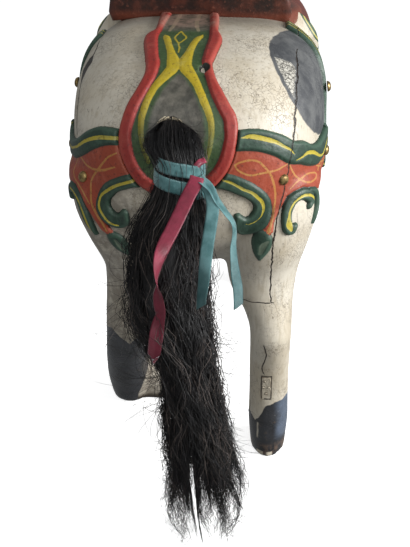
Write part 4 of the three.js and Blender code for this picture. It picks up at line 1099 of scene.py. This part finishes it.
# Tail. It is real black horsehair, nailed in at the root of the dock. It bushes out, is drawn in where the ribbons tie
# it, and hangs in rough clumps that part into two locks near the floor, with many loose hairs.
HAIR = [
    [-13, 1, 531, 110, 9, 7, 6], [-13, -12, 527, 125, 20, 12, 11], [-12, -24, 522, 135, 27, 16, 15],
    [-10, -36, 515, 145, 31, 20, 19], [-8, -46, 507, 155, 33, 22, 21], [-3, -54, 499, 168, 31, 23, 22],
    [1, -57, 492, 175, 27, 23, 22], [2, -58, 482, 178, 26, 22, 21], [1, -59, 472, 178, 27, 22, 21],
    [0, -61, 462, 178, 29, 22, 21], [-3, -66, 445, 178, 34, 25, 22], [-9, -72, 423, 177, 43, 27, 25],
    [-14, -78, 398, 176, 46, 28, 27], [-14, -86, 365, 176, 43, 29, 28], [-10, -94, 335, 176, 44, 29, 28],
    [-3, -102, 302, 177, 46, 28, 28], [6, -109, 270, 177, 40, 27, 26], [15, -114, 241, 178, 34, 26, 25],
    [21, -119, 205, 178, 36, 26, 26], [25, -123, 171, 178, 39, 26, 26], [28, -127, 137, 178, 42, 26, 26],
    [32, -130, 101, 178, 43, 26, 26], [35, -132, 65, 179, 43, 25, 25], [38, -133, 34, 179, 38, 22, 22],
    [40, -134, 8, 180, 28, 15, 15],
]
hair_rows = between(HAIR, 10)
hair_run = np.append(0, np.cumsum(np.linalg.norm(np.diff(hair_rows[:, :3], axis=0), axis=1)))
hair_run /= hair_run[-1]
fall = np.random.default_rng(7)


def in_tail(share, u, v):
    """The place at a share of the tail's length, and u across and v out of it as shares of its half widths there."""
    x, y, z, tilt, half, up, down = [np.interp(share, hair_run, column) for column in hair_rows.T]
    lean = np.radians(tilt)
    out = np.where(v > 0, up, down) * v
    return np.stack([x + half * u, y + out * np.cos(lean), z + out * np.sin(lean)], -1)


PARTING = -0.25  # where the tail parts, as a share of its half width


def parted(share, u, home):
    """Near the floor the tail parts into two locks: hairs draw away to the side of the parting where their home is."""
    lock = np.sign(home - PARTING)
    opened = np.clip((share - 0.66) / 0.14, 0, 1)
    beside = lock * (u - PARTING)
    clear = lock * (0.04 + (beside + np.sqrt(beside**2 + 0.03)) / 2) + PARTING
    return u + opened * (clear - u)


def waves(share, count, size, rate, rng):
    """Smooth wander: the sum of three sines of the share, with rates from 0.5 to 1.5 times the given one."""
    total = 0
    for part in 0.5, 1.0, 1.5:
        total = total + np.sin(2 * np.pi * (rate * part * share + rng.random((count, 1)))) * size / (1 + part)
    return total


def strands(name, paths, thick, tones):
    """Hairs as closed three-sided tubes along paths [hair, ring, xyz], thinner towards both ends. Each hair's tone is
    kept on its points."""
    hairs, rings = paths.shape[:2]
    along = np.gradient(paths, axis=1)
    along /= np.linalg.norm(along, axis=-1, keepdims=True) + 1e-9
    side = np.cross(along, [0.31, 0.90, 0.31])
    side /= np.linalg.norm(side, axis=-1, keepdims=True) + 1e-9
    beside = np.cross(along, side)
    share = np.linspace(0, 1, rings)
    taper = np.minimum(1, 0.35 + 6 * share) * (1 - share**5 * 0.85)
    radius = (np.broadcast_to(thick, hairs)[:, None] * taper)[..., None, None]
    turn = np.array([0, 2, 4]) * np.pi / 3
    skin = paths[:, :, None] + radius * (
        np.cos(turn)[:, None] * side[:, :, None] + np.sin(turn)[:, None] * beside[:, :, None])
    index = np.arange(hairs * rings * 3).reshape(hairs, rings, 3)
    after = np.roll(index, -1, axis=2)
    quads = np.stack([index[:, :-1], after[:, :-1], after[:, 1:], index[:, 1:]], -1).reshape(-1, 4)
    ends = np.concatenate([index[:, 0, ::-1], index[:, -1]])
    made = piece(name, in_frame(skin.reshape(-1, 3)), quads.tolist() + ends.tolist())
    keep(made, tone=np.repeat(tones, rings * 3))
    settle(made, "horsehair")
    return made


# the dark mass inside: fluted clumps that fill the tail
clumps = []
for i in range(15):
    radius = 0.62 * np.sqrt((i + 0.5) / 15)
    heading = i * 2.4
    share = np.linspace(0.0, 0.93 - 0.12 * fall.random(), 34)[None]
    u = radius * np.cos(heading) + waves(share, 1, 0.09, 2.2, fall)
    v = radius * np.sin(heading) + waves(share, 1, 0.07, 2.0, fall)
    opening = np.clip(share / 0.10, 0.15, 1)
    path = in_tail(share, parted(share, u, radius * np.cos(heading)) * opening, v * opening)[0]
    half = np.interp(share[0], hair_run, hair_rows[:, 4])
    deep = np.interp(share[0], hair_run, hair_rows[:, 5])
    slim = np.clip(1.25 - 1.15 * share[0] ** 3, 0.22, 1) * np.clip(share[0] / 0.08, 0.3, 1)
    slim = slim * np.clip(6.5 * (1.01 - share[0] / share[0, -1]), 0.05, 1)
    rows = np.column_stack([path, np.full(34, 178.0), half * 0.30 * slim, deep * 0.30 * slim, deep * 0.30 * slim,
                            np.full(34, 2.0), np.full(34, 2.0)])
    clumps.append(carved_lock(rows, 7, 1, 20, 3.0))
points, faces = gathered(clumps)
tail_core = piece("tail_core", in_frame(points), faces)
settle(tail_core, "horsehair", "horsehair_tail")

# the outer hair, which follows the clumps and parts into two locks near the floor
CLUMPS = 64
HAIRS = 640  # in each of three layers
RINGS = 30
GOLDEN_TURN = 2.39996  # it spreads the clumps evenly over the tail's section
nest = (np.arange(CLUMPS) + 0.5) / CLUMPS
clump_u = np.sqrt(nest) * np.cos(np.arange(CLUMPS) * GOLDEN_TURN)
clump_v = np.sqrt(nest) * np.sin(np.arange(CLUMPS) * GOLDEN_TURN)


clump_length = fall.random(CLUMPS)
drift_phase = fall.random((4, CLUMPS, 1, 1))


def drift(share, home, wide, phases):
    """How far a clump wanders at a share of the tail's length: two sines, each with its size and rate."""
    turns = [2 * np.pi * (rate * share + phase[home, 0]) for (_, rate), phase in zip(wide, phases)]
    return sum(size * np.sin(turn) for (size, _), turn in zip(wide, turns))


def hanging(count, rng, loose):
    """Paths of long hairs. Loose sets how far a hair leaves its clump."""
    home = rng.integers(0, CLUMPS, count)
    first = np.where(rng.random((count, 1)) < 0.72, 0.0, rng.random((count, 1)) * 0.35 + 0.12)
    last = np.clip(0.80 + 0.20 * clump_length[home][:, None] + rng.normal(0, 0.025, (count, 1)), 0, 1.0)
    share = first + (last - first) * np.linspace(0, 1, RINGS)
    free = np.clip((share - 0.22) / 0.12, 0, 1)
    spread = 0.20 * (1 - 0.55 * share) * loose
    wide = rng.normal(0, 1, (count, 2)) * 0.6
    strength = 1 + 0.5 * np.clip((share - 0.8) / 0.2, 0, 1)
    u = clump_u[home][:, None] + free * drift(share, home, [(0.20, 1.7), (0.14, 4.1)], drift_phase[:2]) * strength
    v = clump_v[home][:, None] + free * drift(share, home, [(0.16, 1.9), (0.12, 4.3)], drift_phase[2:])
    frizz = 0.105 * loose
    u = u + wide[:, :1] * spread + waves(share, count, frizz, 8, rng) * (0.4 + free)
    v = v + wide[:, 1:] * spread + waves(share, count, frizz, 8, rng) * (0.4 + free)
    beyond = np.maximum(np.hypot(u, v), 1)
    limit = 1 + (beyond - 1) * (0.3 + 0.25 * loose)
    u, v = u / beyond * limit, v / beyond * limit
    opening = np.clip((share + 0.015) / 0.07, 0, 1) ** 0.7
    return in_tail(share, parted(share, u, clump_u[home][:, None]) * opening, v * opening)


hair_pieces = [tail_core]
for i in range(3):
    tones = fall.random(HAIRS) ** 2
    hair_pieces.append(strands(f"tail_hair_{i + 1}", hanging(HAIRS, fall, 0.8 + 0.5 * i), 0.44 - 0.05 * i, tones))


def loose_hairs(count, rng, first, last, leftward, reach, rings=16):
    """Hairs that leave the tail between two shares of its length and swing out in arcs: the heading starts down the
    tail, turns outwards at an even rate, and sags under its own weight."""
    share = first + (last - first) * rng.random(count)
    side = np.where(rng.random(count) < leftward, -1, 1)
    start = in_tail(share, side * (0.55 + 0.4 * rng.random(count)), rng.uniform(-0.7, 0.9, count))
    length = reach * (0.35 + 0.65 * rng.random(count))
    heading = rng.uniform(-0.1, 0.9, (count, 1))
    bend = rng.normal(0.4, 1.7, (count, 1))
    along = np.linspace(0, 1, rings)
    angle = heading + bend * along - 0.8 * along**2
    depth = rng.normal(0, 0.28, (count, 1)) + rng.normal(0, 0.3, (count, 1)) * along
    step = np.stack([side[:, None] * np.sin(angle), depth, -np.cos(angle) + 0 * along], -1)
    step *= (length / rings)[:, None, None]
    return start[:, None] + np.cumsum(step, axis=1) - step[:, :1]


loose = np.concatenate([
    loose_hairs(150, fall, 0.34, 0.66, 0.85, 105),
    loose_hairs(260, fall, 0.40, 0.80, 0.22, 70),
    loose_hairs(150, fall, 0.03, 0.16, 0.60, 42),
    loose_hairs(200, fall, 0.76, 0.985, 0.5, 42),
])
loose[..., 2] = np.maximum(loose[..., 2], 3)
hair_pieces.append(strands("tail_loose_hair", loose, 0.23, fall.random(len(loose)) * 0.9))

shade, horsehair = material("horsehair")
at = shade.place()
tone = shade.layer("tone")
patchy = shade.noise(at, 28, 3)
colour = ((tone - 0.45).step(0.0, 0.5) * patchy.step(0.38, 0.62)).between((0.0035, 0.003, 0.0035), (0.115, 0.09, 0.078))
shade.finish(colour, 0.50 + tone * 0.15, shade.noise(shade.stretched(at, 1, 1, 0.12), 700, 2), 0.0004)
for made in hair_pieces:
    made.data.materials.append(horsehair)

# a pale tuft of tow is wedged in beside the root
TUFT_HAIRS = 46
tuft_start = np.array([-14, -7, 531]) + fall.normal(0, 1, (TUFT_HAIRS, 3)) * [4.5, 1.5, 1.2]
tuft_turn = fall.uniform(-1.3, 1.3, (TUFT_HAIRS, 1))
tuft_along = np.linspace(0, 1, 9)
tuft_step = np.stack(np.broadcast_arrays(np.sin(tuft_turn), -0.75, 0.55 - 1.7 * tuft_along), -1) * 1.5
tuft = strands("tail_tuft", tuft_start[:, None] + np.cumsum(tuft_step, axis=1), 0.5, fall.random(TUFT_HAIRS))
shade, tow = material("tow")
at = shade.place()
shade.finish(shade.noise(at, 300).between((0.24, 0.19, 0.12), (0.62, 0.55, 0.40)), 0.7 + shade.noise(at, 200) * 0.1)
tuft.data.materials.append(tow)


# Ribbons. A teal satin ribbon is wound twice round the tail and knotted on its right, with both ends left to hang. A
# crimson one is tucked under it and hangs with a half twist. They are cut cloth, 15 and 17 mm wide.
RIBBON_THICK = 0.35
RIBBON_ROWS = 9  # points across a ribbon


def ribbon_strip(stations, width, cut=(0, 0), per=10, curl=0.0):
    """A closed thin strip through stations [x, y, z, turn]. Its width lies along the direction that the turn gives in
    plan, made square to the path, and it is cupped by the curl times the square of the place across it. The cut is how
    much longer its last end is at the right edge and in the middle than at the left edge."""
    path = between(stations, per)
    middle, turn = path[:, :3], np.radians(path[:, 3])
    along = np.gradient(middle, axis=0)
    along /= np.linalg.norm(along, axis=1, keepdims=True)
    wide = np.stack([np.cos(turn), np.sin(turn), 0 * turn], -1)
    wide -= (wide * along).sum(-1, keepdims=True) * along
    wide /= np.linalg.norm(wide, axis=1, keepdims=True)
    across = np.linspace(-1, 1, RIBBON_ROWS)
    longer = cut[0] * (across + 1) / 2 + cut[1] * (1 - np.abs(across))
    share = np.clip(np.linspace(-5, 1, len(middle)), 0, 1)[:, None, None]
    return woven_strip(middle, wide, np.cross(wide, along), width, curl, share * longer[:, None] * along[:, None])


def woven_strip(middle, wide, face, width, curl, drawn=0):
    """A closed strip along a middle line, with the directions of its width and of its face at each point. It gives the
    points, the faces, each point's place across and along, and the length. Drawn is what each point is moved by."""
    across = np.linspace(-1, 1, RIBBON_ROWS)
    lie = middle[:, None] + across[:, None] * wide[:, None] * width / 2
    lie = lie + (curl * across**2)[:, None] * face[:, None] + drawn
    half = face[:, None] * RIBBON_THICK / 2
    ring = np.concatenate([lie + half, (lie - half)[:, ::-1]], axis=1)
    points, faces = capped(ring, ring[0].mean(0), ring[-1].mean(0))
    run = np.append(0, np.cumsum(np.linalg.norm(np.diff(middle, axis=0), axis=1)))
    place = np.stack([np.broadcast_to(np.concatenate([across, across[::-1]]), ring.shape[:2]),
                      np.broadcast_to(run[:, None], ring.shape[:2])], -1).reshape(-1, 2)
    return points, faces, np.concatenate([place, [[0, 0], [0, run[-1]]]]), run[-1]


def ribbon(name, strips, node, slot, satin):
    """Strips of one ribbon as one piece of cloth, with its places across and along kept on its points."""
    points, faces = gathered([strip[:2] for strip in strips])
    made = piece(name, in_frame(points), faces)
    across, run = np.concatenate([strip[2] for strip in strips]).T
    keep(made, across=across, run=run)
    made.data.materials.append(satin)
    settle(made, slot, node)
    length = sum(strip[3] for strip in strips) / 1000


def satin(name, deep, lit_colour):
    """Satin: a close ribbed weave across the strip, with firmer woven edges. Its creases and ribs mix a shaded and a
    lit copy of its colour as painted shade and painted highlight, and its lower ends are darkened as painted shade.
    """
    shade, made = material(name)
    at = shade.place()
    run, across = shade.layer("run"), shade.layer("across")
    ribs = shade.math("SINE", run * 9.0)
    creases = shade.noise(at, 55, 3)
    height = shade.axes(at)[2]
    # painted shade and painted highlight: the creases and ribs mix the shaded and the lit colour
    colour = (creases.step(0.3, 0.7) * 0.6 + ribs * 0.06).between(deep, lit_colour)
    # painted shade: below 0.40 m the ribbon is darker, as where it hangs in the tail's shade
    colour = (height.step(0.425, 0.345) * 0.6).between(colour, tuple(0.6 * c for c in deep))
    colour = (abs(across).step(0.86, 0.97) * 0.35).between(colour, tuple(0.55 * c for c in deep))
    sheen = {"Sheen Weight": 0.35, "Sheen Roughness": 0.3}
    shade.finish(colour, 0.34 + creases * 0.12, ribs * 0.12 + creases, 0.0006, **sheen)
    return made


TEAL_WIDE_END = [[27, -81, 480, 12], [34, -85, 475, 8], [40, -88, 466, 2], [43, -93, 450, 4], [41, -103, 429, 6],
                 [38, -111, 408, 4], [36, -118, 388, -6], [34, -123, 366, -24], [32, -127, 349, -34],
                 [31, -129, 331, -36]]
TEAL_NARROW_END = [[26, -78, 483, 40], [33, -82, 477, 62], [41, -84, 470, 66], [48, -85, 457, 70], [58, -86, 443, 75],
                   [66, -88, 433, 80], [69, -90, 425, 76], [69, -91, 414, 70], [68, -92, 401, 64], [69, -93, 384, 58],
                   [71, -94, 366, 46], [74, -95, 348, 42], [75, -96, 331, 44], [75, -96, 321, 44]]
CRIMSON = [[24, -84, 485, 10], [22, -87, 478, 6], [15, -93, 466, 0], [7, -99, 449, -4], [-3, -106, 428, 0],
           [-13, -113, 408, 16], [-18, -119, 392, 44], [-20, -123, 376, 74], [-20, -126, 362, 104],
           [-19, -129, 349, 140], [-17, -131, 335, 150], [-16, -132, 326, 138], [-18, -133, 318, 150],
           [-21, -135, 303, 176], [-23, -137, 287, 168], [-24, -138, 278, 160]]
CRIMSON_FOLD = [[18, -74, 488, 8], [22, -73, 494, 12], [27, -71, 499, 18], [32, -67, 501, 26]]


def wound_strip(centre, half, deep, heights, width, steps=72):
    """One turn round the tail: an ellipse in plan. Its height follows the given ones, from the right round the back."""
    turn = np.linspace(0, 2 * np.pi, steps) - 0.5
    middle = np.stack([centre[0] + half * np.cos(turn), centre[1] + deep * np.sin(turn),
                       np.interp(turn, np.linspace(turn[0], turn[-1], len(heights)), heights)], -1)
    out = np.stack([np.cos(turn) / half, np.sin(turn) / deep, 0.1 / half + 0 * turn], -1)
    out /= np.linalg.norm(out, axis=1, keepdims=True)
    along = np.gradient(middle, axis=0)
    wide = np.cross(out, along)
    wide /= np.linalg.norm(wide, axis=1, keepdims=True)
    return woven_strip(middle, wide, out, width, -0.8)


# the two turns, the upper one first, from the place where they meet at the right
wraps = [
    wound_strip((2, -57), 29.5, 25.5, [484, 492, 492, 492, 495, 494, 491, 484], 16.5),
    wound_strip((1, -59), 31.5, 26.5, [459, 470, 480, 482, 479, 475, 470, 460], 17.0),
]
# each satin is given a shaded and a lit colour, for its painted shade and painted highlight
teal = satin("teal_satin", (0.040, 0.125, 0.13), (0.20, 0.39, 0.40))
crimson = satin("crimson_satin", (0.17, 0.012, 0.03), (0.42, 0.04, 0.09))
wide_end = ribbon_strip(TEAL_WIDE_END, 15.0, (-12, 0), curl=0.7)
narrow_end = ribbon_strip(TEAL_NARROW_END, 15.0, (-5, 0), curl=0.5)
ribbon("teal_ribbon_satin", [*wraps, wide_end, narrow_end], "teal_ribbon", "teal_satin", teal)
hanging_end = ribbon_strip(CRIMSON, 17.0, (2, 15), curl=0.8)
fold = ribbon_strip(CRIMSON_FOLD, 8.0, curl=-1.0)
ribbon("crimson_ribbon_satin", [hanging_end, fold], "crimson_ribbon", "crimson_satin", crimson)


# Studs. Eight turned brass studs with domed heads are knocked into the straps. Each side has one on the breeching, one
# on the flank, one by the chest and one on the hip strap.
STUD_LIFT = {"breeching": 5.2, "flank": 6.5, "collar": 5.5, "hip": 9.0}  # for the carved relief under each
STUD_NODES = [f"{strap}_stud_{side}" for strap in STUD_LIFT for side in ("right", "left")]
turn = np.linspace(0, 2 * np.pi, 32, endpoint=False)
profile = np.array([[7.5, -2.5], [7.5, -1.4], [7.1, -0.5], [6.2, 0.9], [4.9, 1.9], [3.2, 2.5], [1.5, 2.75]])
dome = np.stack([profile[:, :1] * np.cos(turn), profile[:, :1] * np.sin(turn), profile[:, 1:] + 0 * turn], -1)
dome_points, dome_faces = capped(dome, [0, 0, -2.5], [0, 0, 2.8])
stud_heads = []
for node in STUD_NODES:
    low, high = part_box(node)
    _, place, out, _ = body.closest_point_on_mesh((low + high) / 2)
    out = np.array(out)
    middle = np.array(place) * 1000 + STUD_LIFT[node.split("_")[0]] * out
    side = np.cross([0, 0, 1], out)
    side /= np.linalg.norm(side)
    axes = np.array([side, np.cross(out, side), out])
    stud_heads.append((middle + dome_points @ axes, dome_faces))
points, faces = gathered(stud_heads)
studs = piece("brass_studs", points / 1000, faces)
settle(studs, "stud_brass", *STUD_NODES)
shade, aged_brass = material("aged_brass")
at = shade.place()
tarnish = shade.noise(at, 160, 4, 0.65)
colour = tarnish.step(0.38, 0.66).between((0.40, 0.29, 0.12), (0.13, 0.085, 0.035))
shade.finish(colour, 0.30 + tarnish * 0.25, tarnish, 0.0004, Metallic=0.85)
studs.data.materials.append(aged_brass)


# Repair plate. A strip of sheet iron is screwed over a split at the back of the right pastern with four slotted screws,
# and painted over with the leg.
plate_low, plate_high = (np.array(corner) * 1000 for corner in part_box("repair_plate"))
plate_middle, plate_size = (plate_low + plate_high) / 2, plate_high - plate_low
PLATE_THICK = 4.6
PLATE_LEAN = (plate_size[1] - 4) / plate_size[2]  # it follows the leg, which slopes
PLATE_GRID = (25, 61)  # points across and up
across, up = np.meshgrid(*(np.linspace(-1, 1, number) for number in PLATE_GRID), indexing="ij")
edge_in = np.minimum((1 - np.abs(across)) * plate_size[0] / 2, (1 - np.abs(up)) * plate_size[2] / 2)
back = PLATE_THICK / 2 * (1 - 0.5 * (1 - np.clip(edge_in / 0.9, 0, 1)) ** 2)  # 0.9 mm is the rounding of its edge
lean_out = PLATE_LEAN * up * plate_size[2] / 2
outside = np.stack([across * plate_size[0] / 2, -back - lean_out, up * plate_size[2] / 2], -1).reshape(-1, 3)
index = np.arange(len(outside)).reshape(PLATE_GRID)
rim_index = np.concatenate([index[:, 0], index[-1, 1:], index[-2::-1, -1], index[0, -2:0:-1]])
plate_points = np.concatenate([outside, [[0, PLATE_THICK / 2, 0]], outside[rim_index] + [0, PLATE_THICK - 1, 0]])
ring = len(outside) + 1 + np.arange(len(rim_index))
plate_faces = grid_faces(*PLATE_GRID).tolist()
plate_faces += np.stack([rim_index, np.roll(rim_index, -1), np.roll(ring, -1), ring], -1).tolist()
plate_faces += [[a, b, len(outside)] for a, b in zip(ring, np.roll(ring, -1))]
plate = piece("plate_iron", (plate_points + plate_middle) / 1000, plate_faces, smooth=False)
keep(plate, edge=np.concatenate([edge_in.reshape(-1), [0], 0 * ring]))
settle(plate, "painted_plate", "repair_plate")
SCREW_SLOTS = {"plate_screw_1": 20, "plate_screw_2": 75, "plate_screw_3": -40, "plate_screw_4": 60}  # degrees
shade, plate_paint = material("plate_paint")
at, colour, relief, net = cream_paint(shade)
ringed = 0
for node in SCREW_SLOTS:
    low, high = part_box(node)
    middle = (low + high) / 2
    gap = shade.gap(shade.stretched(at, 1, 0, 1), (middle.x, 0, middle.z))
    ringed = ringed + (1 - abs(gap - (high.x - low.x) / 2 - 0.0004).step(0.0003, 0.0008))
grime = (1 - shade.layer("edge").step(0.3, 1.3)) * shade.noise(at, 90, 3).step(0.30, 0.5)
grime = grime.most(ringed.least(1) * 0.6)
shade.finish((grime * 0.9).between(colour, (0.07, 0.045, 0.025)), 0.5 + net * 0.1, relief, 0.0008)
plate.data.materials.append(plate_paint)

SCREW_CROWN = 1.3  # how high a head is crowned
SCREW_FOOT = 2.4  # how deep it goes into the plate
SLOT_DEEP = 0.45
SLOT_HALF = 0.35
heads = []
for node, slope in SCREW_SLOTS.items():
    low, high = (np.array(corner) * 1000 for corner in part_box(node))
    middle, reach = (low + high) / 2, (high[0] - low[0]) / 2
    middle[1] = plate_middle[1] - PLATE_THICK / 2 - PLATE_LEAN * (middle[2] - plate_middle[2]) + 0.2
    radius = np.linspace(0, 1, 9)[1:, None] * reach
    ray = np.linspace(0, 2 * np.pi, 40, endpoint=False)
    flat = np.stack([radius * np.cos(ray), radius * np.sin(ray)], -1)
    lean = np.radians(slope)
    off_slot = np.abs(-flat[..., 0] * np.sin(lean) + flat[..., 1] * np.cos(lean))
    raised = SCREW_CROWN * np.sqrt(1 - 0.75 * (radius / reach) ** 2) - SLOT_DEEP * (off_slot < SLOT_HALF)
    rings = np.stack([flat[..., 0], -raised, flat[..., 1]], -1)
    foot = rings[-1:] * [1, 0, 1] + [0, SCREW_FOOT, 0]
    screw_points, screw_faces = capped(np.concatenate([rings, foot]), [0, SLOT_DEEP - SCREW_CROWN, 0],
                                       [0, SCREW_FOOT, 0])
    heads.append((screw_points + middle, screw_faces))
points, faces = gathered(heads)
screws = piece("plate_screws", points / 1000, faces)
settle(screws, "painted_plate", *SCREW_SLOTS)
shade, screw_paint = material("screw_paint")
at, colour, relief, net = cream_paint(shade)
tarnish = shade.noise(at, 420, 3).step(0.40, 0.62)
shade.finish((tarnish * 0.75).between(colour, (0.10, 0.07, 0.045)), 0.45 + tarnish * 0.2, relief, 0.0004)
screws.data.materials.append(screw_paint)


# Floor and light. The horse stands on a white sweep that shines evenly by itself. A large window on its right gives the
# light, and the room behind the camera softens the shadows a little.
floor = piece("floor", [[-8, -8, 0], [8, -8, 0], [8, 12, 0], [-8, 12, 0]], [[0, 1, 2, 3]], smooth=False)
shade, sweep = material("white_sweep")
shade.finish((0.80, 0.80, 0.80, 1), 0.9, **{"Emission Color": (1, 1, 1, 1), "Emission Strength": 0.78})
floor.data.materials.append(sweep)
floor.visible_diffuse = False
floor.visible_glossy = False
world = bpy.data.worlds.new("room")
world.use_nodes = True
air = world.node_tree.nodes["Background"].inputs
air["Color"].default_value = (0.95, 0.98, 1, 1)
air["Strength"].default_value = 0.27
bpy.context.scene.world = world
LIT = Vector((0, -0.3, 0.4))  # the lights point at the middle of the rump
LAMPS = [("window", (2.45, -1.0, 1.25), 1.2, 112), ("room_light", (0.1, -2.2, 1.8), 1.6, 17)]  # place, size, watts
for name, place, size, power in LAMPS:
    lamp_data = bpy.data.lights.new(name, "AREA")
    lamp_data.size = size
    lamp_data.energy = power
    lamp = bpy.data.objects.new(name, lamp_data)
    lamp.location = place
    lamp.rotation_euler = (LIT - lamp.location).to_track_quat("-Z", "Y").to_euler()
    bpy.context.collection.objects.link(lamp)
bpy.context.scene.view_settings.view_transform = "Standard"
